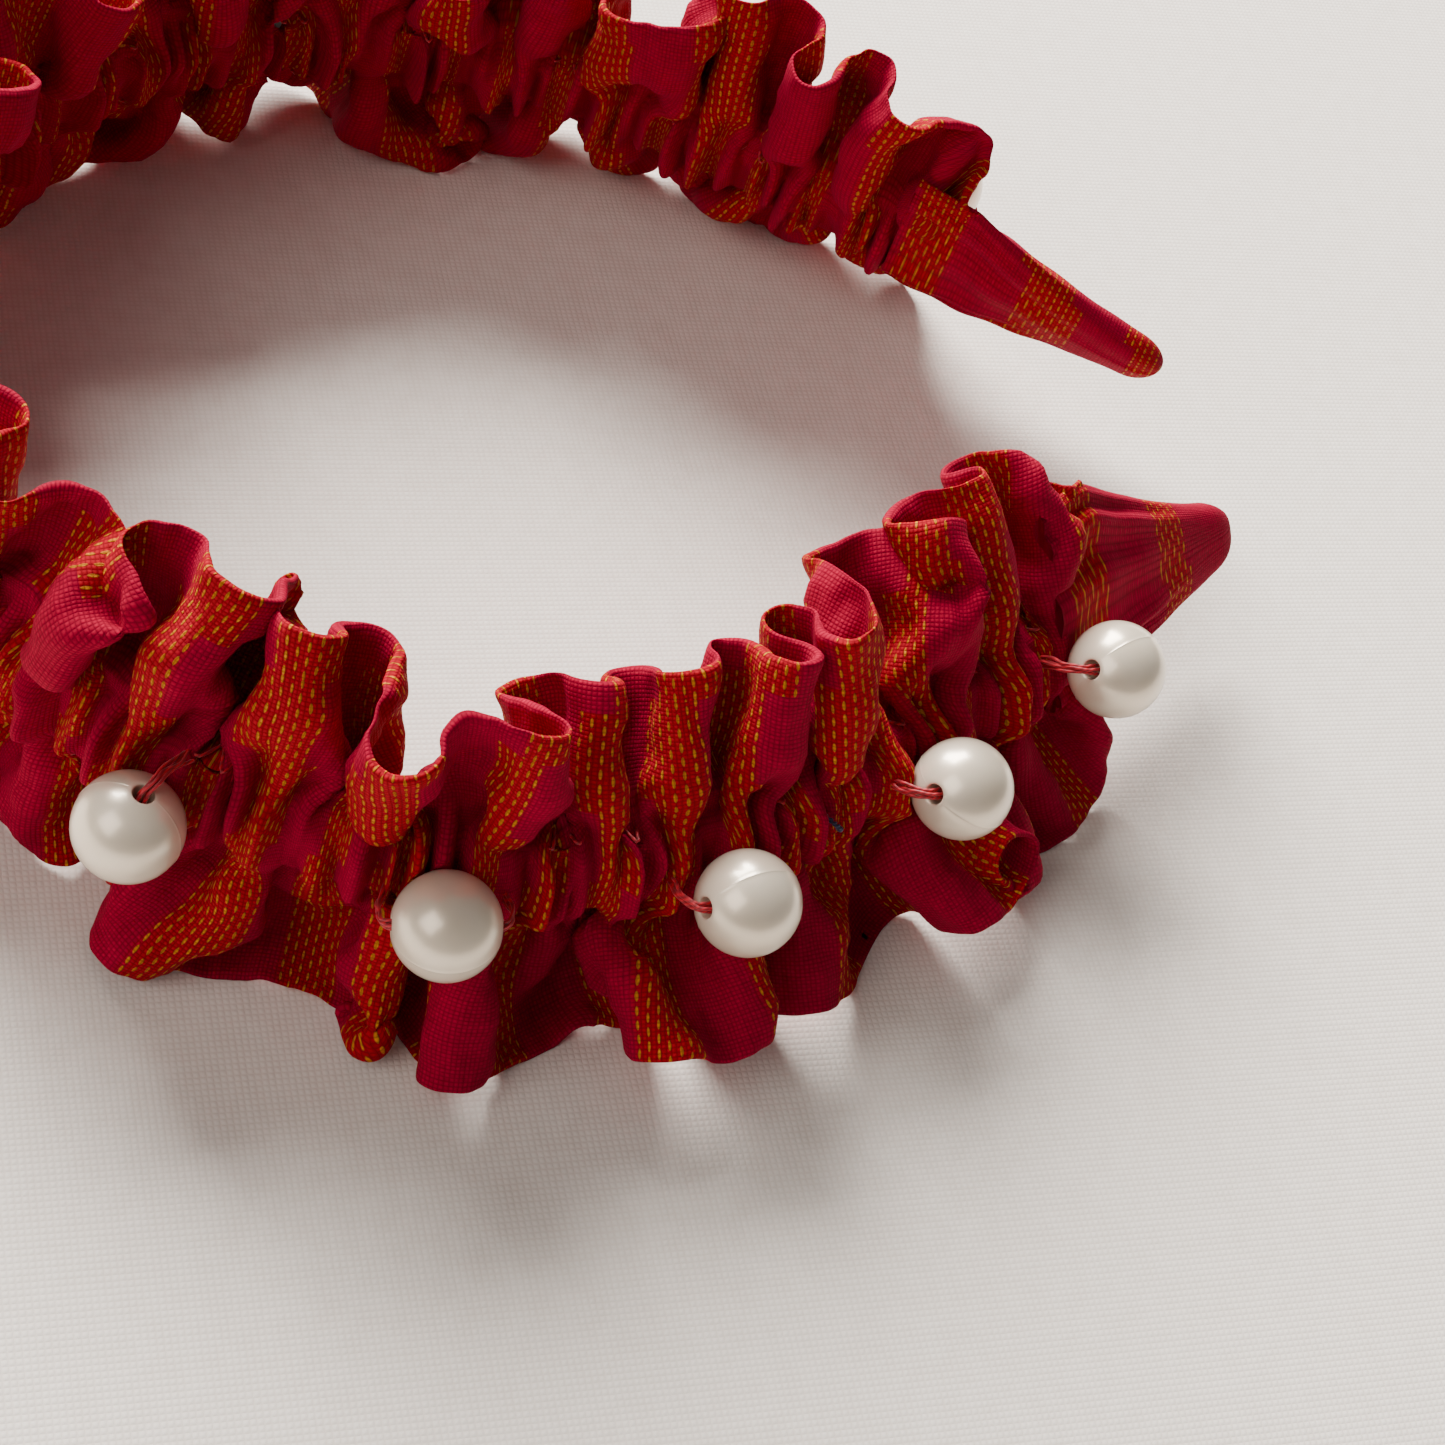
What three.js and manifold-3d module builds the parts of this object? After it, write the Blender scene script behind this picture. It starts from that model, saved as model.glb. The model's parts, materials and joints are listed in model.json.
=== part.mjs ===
// A ruched fabric hairband (alice band) with pearl beads sewn along its outer face.
// A springy C-shaped core runs inside a gathered double-layer sleeve, and each end of the core
// sits in a smooth fabric tip cover. The core and sleeve bend all along the crown; here they are
// cut once on each side of the crown bead, so that each arm swings about the cut. Millimetres,
// +Z up. The band lies on the lower edge of its frill: the crown is towards +Y, the two tips
// towards -Y, and X = 0 is the plane of symmetry.
import * as THREE from 'three';
import { mergeVertices } from 'three/addons/utils/BufferGeometryUtils.js';
import Module from 'manifold-3d';

const wasm = await Module();
wasm.setup();

// ---- centre-line of the core, one half measured from the crown -------------------------------
const CROWN_RADIUS = 53;        // radius of the bend at the crown
const SHOULDER_RADIUS = 60;     // radius where the bend ends
const BEND_LENGTH = 110;        // arc length of the bend
const RUNOUT_LENGTH = 22;       // length over which the bend straightens
const HALF_LENGTH = 185;        // crown to the end of a tip
const DRAWN_LENGTH = 185;       // the half length for which the bend's radii and lengths are given
const SPREAD = HALF_LENGTH / DRAWN_LENGTH; // a longer band bends as much, over a wider hoop
const TIP_TWIST = 36;           // degrees the band has twisted at its tip, upper edge inwards
const TWIST_POWER = 1.3;        // how late along the arm the twist builds up

// ---- core ---------------------------------------------------------------------------------------
const CORE_HEIGHT = 7;
const CORE_TIP_HEIGHT = 4.6;
const CORE_THICKNESS = 2.2;
const CORE_CORNER = 0.7;        // chamfer along the core's edges
const CORE_TAPER_LENGTH = 65;   // length over which the core narrows to its tip
const CORE_TAPER_START = HALF_LENGTH - CORE_TAPER_LENGTH;
const CORE_PITCH = 5.2;         // length of one straight facet of the core and its stitches

// ---- sleeve -------------------------------------------------------------------------------------
const CROWN_HALF_HEIGHT = 20.5; // frill half height at the crown
const ARM_HALF_HEIGHT = 16.5;   // frill half height along the arms
const ARM_HEIGHT_FROM = 45;     // arc lengths between which the frill's upper edge comes down
const ARM_HEIGHT_TO = 76;
const CORE_DROP = 0.04;         // how far the core comes down per millimetre towards the tips
const TIP_LENGTH = 27;          // length of each tip beyond the sleeve
const SLEEVE_END = HALF_LENGTH - TIP_LENGTH;
const BEAD_RADIUS = 5;
const BEADS_EACH_SIDE = 6;
const BEAD_PITCH = (SLEEVE_END - BEAD_RADIUS) / BEADS_EACH_SIDE; // the last bead sits at its end
const SLEEVE_CLOSING = 11;      // length over which the frill comes in to the tip cover
const VALLEY_HALF = 2.7;        // half thickness along the gathered centre line
const THREAD_ROOM = 2;          // beside each bead, for the foot of its thread
const VALLEY_HEIGHT = BEAD_RADIUS + THREAD_ROOM; // half height of the part without waves
const FRILL_HALF = 3.2;         // half thickness of the frill at its fullest
const FRILL_EDGE_HALF = 1.8;    // half thickness at the folded edge
const WAVE_PITCH = BEAD_PITCH / 2; // length of one fold of the frill
const WAVE_DEPTH = 4.5;         // sideways reach of the folds at the edge
const SCALLOP = 1.1;            // how much the upper edge rises and falls with the folds
const SHOULDER_LIFT = 0.5;      // least height of the lower frill beside its resting edge

// ---- tip covers ---------------------------------------------------------------------------------
const COVER_HALF_HEIGHT = 6.2;  // at the sleeve
const COVER_TIP_HALF = 4.0;     // at the round end
const COVER_HALF_THICK = 2.7;
const COVER_ROUND = 4.0;        // length of the rounded end
const COVER_WALL = 1.2;         // fabric beyond the end of the core

// ---- beads and threads --------------------------------------------------------------------------
const BORE_RADIUS = 1.35;
const THREAD_RADIUS = 0.6;      // the bundle of strands that ties one bead
const GATHER_RADIUS = 0.35;     // the running stitch that gathers the sleeve
const GATHER_HEIGHT = 4.5;      // distance of each running stitch from the centre line
const GATHER_SHORT = 6;         // how far short of the sleeve's end they stop
const STITCH_PLACE = 115;       // arc length of the stray tacking stitch on the left arm
const STITCH_LENGTH = 3;
const STITCH_RADIUS = 0.3;
// Degrees each bead's bore is turned from the run of the band, from the left tip to the right.
const BEAD_TURNS = [-28, -24, -12, 8, 84, -10, 16, -6, 88, -8, 18, 26, 20];

// ---- fits ---------------------------------------------------------------------------------------
const CLEARANCE = 0.3;          // between touching pieces
const FLEX_PLACE = BEAD_PITCH / 2; // arc length at which each arm is hinged to the crown
const OPENING_SWING = 18;       // degrees each arm opens
const CLOSING_SWING = 2.5;      // degrees each arm closes
const MITRE_LENGTH = 6;         // length over which an end at a hinge is drawn back

const CORE_END = HALF_LENGTH - COVER_WALL - CLEARANCE;
const COVER_START = SLEEVE_END + CLEARANCE;
const BEAD_OFFSET = VALLEY_HALF + CLEARANCE + BEAD_RADIUS;
const LINE_STEP = 0.25;

const RED = { crimson: 0xb5103c, thread: 0xb01226 };

function material(color, roughness, metalness) {
  return new THREE.MeshStandardMaterial({ color, roughness, metalness });
}

// Curvature of the centre-line at arc length s: it eases from the crown's bend to the shoulder's,
// then runs out to nothing, so that the arms end straight.
function curvature(s) {
  const crown = 1 / (CROWN_RADIUS * SPREAD);
  const shoulder = 1 / (SHOULDER_RADIUS * SPREAD);
  const bend = BEND_LENGTH * SPREAD;
  if (s < bend) return crown + (shoulder - crown) * s / bend;
  return shoulder * Math.max(0, 1 - (s - bend) / (RUNOUT_LENGTH * SPREAD));
}

// The right half of the centre-line as points every LINE_STEP, with the heading turned so far.
function centreLine() {
  const points = [{ x: 0, y: 0, turn: 0 }];
  const count = Math.ceil((HALF_LENGTH + 2) / LINE_STEP);
  for (let i = 0; i < count; i += 1) {
    const last = points[i];
    const turn = last.turn + curvature((i + 0.5) * LINE_STEP) * LINE_STEP;
    const middle = (last.turn + turn) / 2;
    points.push({
      x: last.x + Math.cos(middle) * LINE_STEP,
      y: last.y - Math.sin(middle) * LINE_STEP,
      turn,
    });
  }
  return points;
}

const LINE = centreLine();

// The centre-line at arc length s, which is negative on the left half.
function lineAt(s) {
  const place = Math.abs(s) / LINE_STEP;
  const i = Math.min(Math.floor(place), LINE.length - 2);
  const f = place - i;
  const side = s < 0 ? -1 : 1;
  return {
    x: side * THREE.MathUtils.lerp(LINE[i].x, LINE[i + 1].x, f),
    y: THREE.MathUtils.lerp(LINE[i].y, LINE[i + 1].y, f),
    turn: side * THREE.MathUtils.lerp(LINE[i].turn, LINE[i + 1].turn, f),
  };
}

function twistAt(s) {
  return THREE.MathUtils.degToRad(TIP_TWIST) * (Math.abs(s) / HALF_LENGTH) ** TWIST_POWER;
}

// Height of the centre-line above the surface that the band lies on.
function coreHeightAt(s) {
  return CROWN_HALF_HEIGHT + CORE_DROP * lineAt(s).y;
}

// The point at arc length s, `out` away from the centre-line through the band's thickness and
// `up` across its width.
function bandPoint(s, out, up) {
  const line = lineAt(s);
  const twist = twistAt(s);
  const away = out * Math.cos(twist) - up * Math.sin(twist);
  return new THREE.Vector3(
    line.x + away * Math.sin(line.turn),
    line.y + away * Math.cos(line.turn),
    coreHeightAt(s) + out * Math.sin(twist) + up * Math.cos(twist),
  );
}

// How far an end at a hinge is drawn back, so that the arm can swing about the centre-line: more
// on the outside, which closes up when the band opens.
function mitre(away) {
  const degrees = away > 0 ? OPENING_SWING : CLOSING_SWING;
  const slope = Math.tan(THREE.MathUtils.degToRad(degrees / 2 + 0.5));
  return (CLEARANCE / 2 + Math.abs(away) * slope) / (1 + away / (CROWN_RADIUS * SPREAD));
}

// The band's three lengths, from the left tip to the right. The arms start at the hinges, and the
// crown length runs between them.
const LENGTHS = [
  { name: 'left', side: -1 },
  { name: 'crown', side: 0 },
  { name: 'right', side: 1 },
];

// The stations between which a piece of one length runs, when on an arm it stops at `far`.
function span({ side }, far) {
  if (side < 0) return [-far, -FLEX_PLACE];
  if (side > 0) return [FLEX_PLACE, far];
  return [-FLEX_PLACE, FLEX_PLACE];
}

// A station moved away from whichever hinge is close to it, within the length it belongs to.
function mitred(s, away, { side }) {
  const hinge = side === 0 ? Math.sign(s) * FLEX_PLACE : side * FLEX_PLACE;
  const near = 1 - Math.abs(s - hinge) / MITRE_LENGTH;
  if (near <= 0) return s;
  const direction = side === 0 ? -Math.sign(s) : side;
  return s + direction * mitre(away) * near;
}

// Only positions, with shared vertices merged, so that the surface is closed.
function welded(geometry) {
  const plain = geometry.clone();
  plain.deleteAttribute('normal');
  plain.deleteAttribute('uv');
  return mergeVertices(plain, 1e-4);
}

// Sweeps a flat outline (x through the thickness, y across the width) along the band between two
// stations, in steps of about `pitch`. `place` turns a station, which is negative on the left
// side, and a point of the outline into a point in space.
function sweep(outline, [from, to], pitch, place) {
  const depth = to - from;
  const steps = Math.round(depth / pitch);
  const straight = new THREE.ExtrudeGeometry(outline, { depth, steps, bevelEnabled: false });
  const geometry = welded(straight);
  const position = geometry.getAttribute('position');
  for (let i = 0; i < position.count; i += 1) {
    const point = place(from + position.getZ(i), position.getX(i), position.getY(i));
    position.setXYZ(i, point.x, point.y, point.z);
  }
  geometry.computeVertexNormals();
  return geometry;
}

function toManifold(geometry) {
  const plain = welded(geometry);
  return new wasm.Manifold(new wasm.Mesh({
    numProp: 3,
    vertProperties: new Float32Array(plain.getAttribute('position').array),
    triVerts: new Uint32Array(plain.index.array),
  }));
}

function fromManifold(solid) {
  const mesh = solid.getMesh();
  const geometry = new THREE.BufferGeometry();
  geometry.setAttribute('position', new THREE.BufferAttribute(mesh.vertProperties, 3));
  geometry.setIndex(new THREE.BufferAttribute(mesh.triVerts, 1));
  geometry.computeVertexNormals();
  return geometry;
}

// A rectangle with chamfered corners, centred on the origin.
function chamferedBox(halfWidth, halfHeight, corner) {
  const shape = new THREE.Shape();
  shape.moveTo(halfWidth, -halfHeight + corner);
  shape.lineTo(halfWidth, halfHeight - corner);
  shape.lineTo(halfWidth - corner, halfHeight);
  shape.lineTo(-halfWidth + corner, halfHeight);
  shape.lineTo(-halfWidth, halfHeight - corner);
  shape.lineTo(-halfWidth, -halfHeight + corner);
  shape.lineTo(-halfWidth + corner, -halfHeight);
  shape.lineTo(halfWidth - corner, -halfHeight);
  shape.closePath();
  return shape;
}

// ---- core ---------------------------------------------------------------------------------------
function coreScaleAt(s) {
  const along = THREE.MathUtils.smoothstep(Math.abs(s), CORE_TAPER_START, CORE_END);
  return THREE.MathUtils.lerp(1, CORE_TIP_HEIGHT / CORE_HEIGHT, along);
}

function coreGeometry(length) {
  const outline = chamferedBox(CORE_THICKNESS / 2, CORE_HEIGHT / 2, CORE_CORNER);
  return sweep(outline, span(length, CORE_END), CORE_PITCH, (s, x, y) => (
    bandPoint(mitred(s, x, length), x, y * coreScaleAt(s))
  ));
}

// ---- sleeve -------------------------------------------------------------------------------------
function sleeveOutline() {
  const height = CROWN_HALF_HEIGHT;
  const fullest = VALLEY_HEIGHT + 5;
  const shoulder = height - 2.5;
  const side = [
    [FRILL_EDGE_HALF, -height],
    [FRILL_HALF - 0.3, -shoulder],
    [FRILL_HALF, -fullest],
    [VALLEY_HALF, -VALLEY_HEIGHT],
    [VALLEY_HALF, VALLEY_HEIGHT],
    [FRILL_HALF, fullest],
    [FRILL_HALF - 0.3, shoulder],
    [FRILL_EDGE_HALF, height],
  ];
  const outer = side.map(([x, y]) => new THREE.Vector2(x, y));
  const inner = side.map(([x, y]) => new THREE.Vector2(-x, y)).reverse();
  const shape = new THREE.Shape([...outer, ...inner]);
  const channelX = CORE_THICKNESS / 2 + CLEARANCE;
  const channelY = CORE_HEIGHT / 2 + CLEARANCE;
  const channel = new THREE.Path();
  channel.moveTo(-channelX, -channelY);
  channel.lineTo(-channelX, channelY);
  channel.lineTo(channelX, channelY);
  channel.lineTo(channelX, -channelY);
  channel.closePath();
  shape.holes.push(channel);
  return shape;
}

// Half height of the frill above (side 1) or below (side -1) the centre-line. The lower edge
// reaches the surface that the band lies on; near the tip both edges come in to the tip cover.
function frillHeightAt(s, side) {
  const reach = Math.abs(s);
  const narrowing = THREE.MathUtils.smoothstep(reach, ARM_HEIGHT_FROM, ARM_HEIGHT_TO);
  const fold = Math.cos(2 * Math.PI * reach / WAVE_PITCH * 2);
  const upper = THREE.MathUtils.lerp(CROWN_HALF_HEIGHT, ARM_HALF_HEIGHT, narrowing)
    - SCALLOP * (1 - fold) / 2;
  const lower = coreHeightAt(s) / Math.cos(twistAt(s));
  const open = side > 0 ? upper : lower;
  const closing = THREE.MathUtils.smoothstep(reach, SLEEVE_END - SLEEVE_CLOSING, SLEEVE_END);
  return THREE.MathUtils.lerp(open, COVER_HALF_HEIGHT + 0.6, closing);
}

function sleevePoint(s, x, y, length) {
  const side = y < 0 ? -1 : 1;
  const beyond = Math.max(0, Math.abs(y) - VALLEY_HEIGHT) / (CROWN_HALF_HEIGHT - VALLEY_HEIGHT);
  const reach = Math.abs(s);
  const fading = 1 - THREE.MathUtils.smoothstep(reach, SLEEVE_END - SLEEVE_CLOSING, SLEEVE_END);
  const phase = side > 0 ? 0 : Math.PI / 2;
  const wave = WAVE_DEPTH * fading * beyond * Math.cos(2 * Math.PI * reach / WAVE_PITCH + phase);
  const stem = Math.min(Math.abs(y), VALLEY_HEIGHT);
  const height = Math.max(frillHeightAt(s, side), VALLEY_HEIGHT - 0.2);
  const up = side * (stem + beyond * (height - VALLEY_HEIGHT));
  const point = bandPoint(mitred(s, x + wave, length), x + wave, up);
  const atEdge = side < 0 && beyond > 0.999;
  if (atEdge && reach < SLEEVE_END - SLEEVE_CLOSING) point.z = 0;
  point.z = Math.max(point.z, atEdge ? 0 : SHOULDER_LIFT);
  return point;
}

function sleeveGeometry(length) {
  return sweep(sleeveOutline(), span(length, SLEEVE_END), WAVE_PITCH / 5, (s, x, y) => (
    sleevePoint(s, x, y, length)
  ));
}

// ---- tip covers ---------------------------------------------------------------------------------
// A flattened pocket with a round end, open towards the sleeve, that holds the end of the core.
function coverGeometry(length) {
  const outline = chamferedBox(COVER_HALF_THICK, COVER_HALF_HEIGHT, COVER_HALF_THICK * 0.6);
  const outerSpan = [length.side * COVER_START, length.side * HALF_LENGTH].sort((a, b) => a - b);
  const outer = sweep(outline, outerSpan, 2, (s, x, y) => {
    const reach = Math.abs(s);
    const along = (reach - COVER_START) / (HALF_LENGTH - COVER_START);
    const height = THREE.MathUtils.lerp(1, COVER_TIP_HALF / COVER_HALF_HEIGHT, along);
    const intoEnd = Math.max(0, reach - (HALF_LENGTH - COVER_ROUND)) / COVER_ROUND;
    const rounding = Math.sqrt(1 - 0.84 * intoEnd * intoEnd);
    return bandPoint(s, x * (0.35 + 0.65 * rounding), y * height * rounding);
  });
  const pocketOutline = chamferedBox(
    CORE_THICKNESS / 2 + CLEARANCE,
    CORE_HEIGHT / 2 + CLEARANCE,
    CORE_CORNER,
  );
  const pocketFrom = length.side * (COVER_START - 2);
  const pocketTo = length.side * (CORE_END + CLEARANCE);
  const pocketSpan = [pocketFrom, pocketTo].sort((a, b) => a - b);
  const pocket = sweep(pocketOutline, pocketSpan, CORE_PITCH, (s, x, y) => (
    bandPoint(s, x, y * coreScaleAt(s))
  ));
  return fromManifold(toManifold(outer).subtract(toManifold(pocket)));
}

// ---- running stitches that gather the sleeve along both sides of the core -------------------------
function circleOutline(x, y, radius, sides) {
  const points = [];
  for (let i = 0; i < sides; i += 1) {
    const angle = 2 * Math.PI * i / sides;
    points.push(new THREE.Vector2(x + radius * Math.cos(angle), y + radius * Math.sin(angle)));
  }
  return new THREE.Shape(points);
}

function gatherGeometry(length, row) {
  const out = VALLEY_HALF + CLEARANCE + GATHER_RADIUS;
  const outline = circleOutline(out, row * GATHER_HEIGHT, GATHER_RADIUS, 6);
  return sweep(outline, span(length, SLEEVE_END - GATHER_SHORT), CORE_PITCH, (s, x, y) => (
    bandPoint(mitred(s, x, length), x, y)
  ));
}

// ---- beads --------------------------------------------------------------------------------------
// A station on the outer face: X along the bead's bore, Y across it, Z away from the band.
function station(s, out, up, turnDegrees) {
  const group = new THREE.Group();
  const along = bandPoint(s + 0.5, out, up).sub(bandPoint(s - 0.5, out, up)).normalize();
  const outward = bandPoint(s, out + 1, up).sub(bandPoint(s, out, up));
  outward.addScaledVector(along, -outward.dot(along)).normalize();
  const across = new THREE.Vector3().crossVectors(outward, along);
  const basis = new THREE.Matrix4().makeBasis(along, across, outward);
  const turn = new THREE.Matrix4().makeRotationZ(THREE.MathUtils.degToRad(turnDegrees));
  group.quaternion.setFromRotationMatrix(basis.multiply(turn));
  group.position.copy(bandPoint(s, out, up));
  return group;
}

// A sphere with a bore right through it along X.
function beadGeometry() {
  const mouth = Math.asin(BORE_RADIUS / BEAD_RADIUS);
  const profile = [];
  const arcSteps = 9;
  for (let i = 0; i <= arcSteps; i += 1) {
    const angle = THREE.MathUtils.lerp(mouth, Math.PI - mouth, i / arcSteps);
    profile.push(new THREE.Vector2(BEAD_RADIUS * Math.sin(angle), -BEAD_RADIUS * Math.cos(angle)));
  }
  profile.push(profile[0].clone());
  const geometry = welded(new THREE.LatheGeometry(profile, 14));
  geometry.rotateZ(-Math.PI / 2);
  geometry.computeVertexNormals();
  return geometry;
}

// The thread that ties a bead: up from the valley, through the bore and down again.
function beadThreadGeometry() {
  const mouth = Math.sqrt(BEAD_RADIUS ** 2 - BORE_RADIUS ** 2);
  const clear = BEAD_RADIUS + THREAD_RADIUS + CLEARANCE;
  const foot = VALLEY_HALF + CLEARANCE - BEAD_OFFSET;
  const half = [
    [clear + 0.6, foot],
    [clear + 0.9, foot / 2],
    [clear + 0.4, -THREAD_RADIUS],
    [mouth + 0.3, 0],
  ];
  const right = half.map(([x, z]) => new THREE.Vector3(x, 0, z));
  const left = half.map(([x, z]) => new THREE.Vector3(-x, 0, z)).reverse();
  const path = new THREE.CatmullRomCurve3([...right, ...left], false, 'centripetal');
  const outline = circleOutline(0, 0, THREAD_RADIUS, 6);
  const tube = new THREE.ExtrudeGeometry(outline, { steps: 15, extrudePath: path });
  const geometry = welded(tube);
  geometry.computeVertexNormals();
  return geometry;
}

// ---- assembly -------------------------------------------------------------------------------------
const band = new THREE.Group();
const corePlastic = material(0xf1eee6, 0.45, 0);
const fabric = material(RED.crimson, 0.85, 0);
const coverFabric = material(0xb81540, 0.85, 0);
const pearl = material(0xf2e6d6, 0.22, 0.05);
const thread = material(RED.thread, 0.6, 0);
const navyThread = material(0x1c2146, 0.6, 0);

function addMesh(parent, name, geometry, look) {
  const mesh = new THREE.Mesh(geometry, look);
  mesh.name = name;
  parent.add(mesh);
  return mesh;
}

for (const length of LENGTHS) {
  addMesh(band, `hoop_core_${length.name}`, coreGeometry(length), corePlastic);
  addMesh(band, `ruched_sleeve_${length.name}`, sleeveGeometry(length), fabric);
  addMesh(band, `gathering_thread_upper_${length.name}`, gatherGeometry(length, 1), thread);
  addMesh(band, `gathering_thread_lower_${length.name}`, gatherGeometry(length, -1), thread);
  if (length.side !== 0) {
    addMesh(band, `tip_cover_${length.name}`, coverGeometry(length), coverFabric);
  }
}

// The beads are numbered from the left tip to the right tip.
BEAD_TURNS.forEach((turn, i) => {
  const number = String(i + 1).padStart(2, '0');
  const place = station((i - BEADS_EACH_SIDE) * BEAD_PITCH, BEAD_OFFSET, 0, turn);
  addMesh(place, `pearl_${number}`, beadGeometry(), pearl);
  addMesh(place, `pearl_thread_${number}`, beadThreadGeometry(), thread);
  band.add(place);
});

// A stray stitch left by tacking, lying across the valley of the left arm.
const stitchOut = VALLEY_HALF + CLEARANCE + STITCH_RADIUS;
const stitchPlace = station(-STITCH_PLACE, stitchOut, 0, 70);
const stitch = new THREE.CylinderGeometry(STITCH_RADIUS, STITCH_RADIUS, STITCH_LENGTH, 8);
stitch.rotateZ(Math.PI / 2);
addMesh(stitchPlace, 'tacking_stitch', stitch, navyThread);
band.add(stitchPlace);

// The origin is on the surface that the band lies on, under the middle of its outline.
band.updateMatrixWorld(true);
const footprint = new THREE.Box3().setFromObject(band, true).getCenter(new THREE.Vector3());
band.position.set(0, -footprint.y, 0);
band.updateMatrixWorld(true);

export default band;
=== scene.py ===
# %% [markdown]
# # A ruched hairband with pearl beads
# The band is a springy C-shaped core inside a gathered tube of handwoven cotton, with smooth
# fabric-covered tips and ivory beads sewn along the outside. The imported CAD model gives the
# frame: sizes, places and what moves. Here the cloth, beads and threads get their real look.

# %% Load the frame
import json
import math

import bpy
import numpy as np
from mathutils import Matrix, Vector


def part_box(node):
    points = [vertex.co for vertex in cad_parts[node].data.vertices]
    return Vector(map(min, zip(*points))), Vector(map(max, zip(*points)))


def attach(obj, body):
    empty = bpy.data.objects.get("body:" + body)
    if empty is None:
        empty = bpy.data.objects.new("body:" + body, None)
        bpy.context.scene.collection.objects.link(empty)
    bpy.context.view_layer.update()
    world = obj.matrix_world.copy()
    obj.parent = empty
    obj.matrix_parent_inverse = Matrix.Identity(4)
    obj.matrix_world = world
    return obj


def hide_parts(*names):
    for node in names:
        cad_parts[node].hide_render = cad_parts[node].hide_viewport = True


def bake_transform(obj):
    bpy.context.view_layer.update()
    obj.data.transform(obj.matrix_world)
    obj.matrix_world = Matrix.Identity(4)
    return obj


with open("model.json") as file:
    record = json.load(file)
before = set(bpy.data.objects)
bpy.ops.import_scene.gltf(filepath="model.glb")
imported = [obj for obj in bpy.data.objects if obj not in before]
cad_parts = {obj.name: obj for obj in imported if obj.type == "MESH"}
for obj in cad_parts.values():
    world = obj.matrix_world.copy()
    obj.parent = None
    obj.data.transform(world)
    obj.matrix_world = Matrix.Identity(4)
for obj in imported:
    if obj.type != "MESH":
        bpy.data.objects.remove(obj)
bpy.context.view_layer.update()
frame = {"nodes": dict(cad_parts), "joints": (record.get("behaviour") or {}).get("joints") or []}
MM = 0.001

# %% [markdown]
# The core's centre-line is the backbone of everything. Its curvature eases from the crown's bend
# to the shoulder's and then runs out to nothing, so that the arms end straight. Adding curvature
# up gives the heading, and adding the heading up gives the line: two cumulative sums.

# %% The centre-line
CROWN_RADIUS = 53.0                 # all lengths in mm
SHOULDER_RADIUS = 60.0
BEND_LENGTH = 110.0                 # of the bend, from the crown's middle
RUNOUT_LENGTH = 22.0                # over which the bend runs out
HALF_LENGTH = 185.0                 # of the core, from the crown's middle to a tip
TIP_TWIST = math.radians(36.0)      # of the cross-section at the tips
TWIST_POWER = 1.3
CROWN_HALF_HEIGHT = 20.5            # of the centre line above the table at the crown
CORE_DROP = 0.04                    # by how much it sinks for each mm forwards
CORE_THICKNESS = 2.2
SLEEVE_END = 158.0                  # station where the sleeve gives way to the tip covers
FLEX_PLACE = 12.75                  # station of the hinges


def centre_line(step=0.25):
    """Arc length, x, y and turning angle of the right half. The curvature falls in a straight line
    from 1/CROWN_RADIUS to 1/SHOULDER_RADIUS over the bend, then to zero over the runout."""
    s = np.arange(0.0, HALF_LENGTH + 2.0, step)
    middle = s[:-1] + step / 2
    bend = 1 / CROWN_RADIUS + (1 / SHOULDER_RADIUS - 1 / CROWN_RADIUS) * middle / BEND_LENGTH
    runout = np.clip(1 - (middle - BEND_LENGTH) / RUNOUT_LENGTH, 0, 1) / SHOULDER_RADIUS
    curvature = np.where(middle < BEND_LENGTH, bend, runout)
    turn = np.concatenate([[0], np.cumsum(curvature * step)])
    heading = (turn[1:] + turn[:-1]) / 2
    x = np.concatenate([[0], np.cumsum(np.cos(heading) * step)])
    y = np.concatenate([[0], np.cumsum(-np.sin(heading) * step)])
    return s, x, y, turn


LINE_S, LINE_X, LINE_Y, LINE_TURN = centre_line()
CROWN_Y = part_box("hoop_core_crown")[1][1] / MM - CORE_THICKNESS / 2


def band_point(s, out, up):
    """The point (mm) at station s, `out` away from the centre-line through the band's thickness
    and `up` across its width. The cross-section turns about the line by a twist that grows with
    |s|, and the line sinks towards the tips. Works on whole arrays."""
    s, out, up = np.broadcast_arrays(s, out, up)
    reach = np.abs(s)
    side = np.where(s < 0, -1.0, 1.0)
    x = side * np.interp(reach, LINE_S, LINE_X)
    y = np.interp(reach, LINE_S, LINE_Y)
    turn = side * np.interp(reach, LINE_S, LINE_TURN)
    twist = TIP_TWIST * (reach / HALF_LENGTH) ** TWIST_POWER
    away = out * np.cos(twist) - up * np.sin(twist)
    height = CROWN_HALF_HEIGHT + CORE_DROP * y
    z = height + out * np.sin(twist) + up * np.cos(twist)
    return np.stack([x + away * np.sin(turn), y + away * np.cos(turn) + CROWN_Y, z], axis=-1)


print("crown at y = %.1f mm, tips at y = %.1f mm" % (CROWN_Y, CROWN_Y + LINE_Y[-1]))

# %% Small helpers


def smoothstep(x, low, high):
    t = np.clip((x - low) / (high - low), 0, 1)
    return t * t * (3 - 2 * t)


def ripple(x, pitch, seed, octaves=4):
    """A smooth random wave between about -1 and 1: a sum of sines whose lengths are spread around
    `pitch` and whose phases are drawn from a seeded generator."""
    random = np.random.RandomState(seed)
    total = np.zeros_like(x, dtype=float)
    for _ in range(octaves):
        length = pitch * random.uniform(0.6, 1.7)
        total += np.sin(2 * np.pi * (x / length + random.uniform()))
    return total / math.sqrt(octaves / 2)


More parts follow.
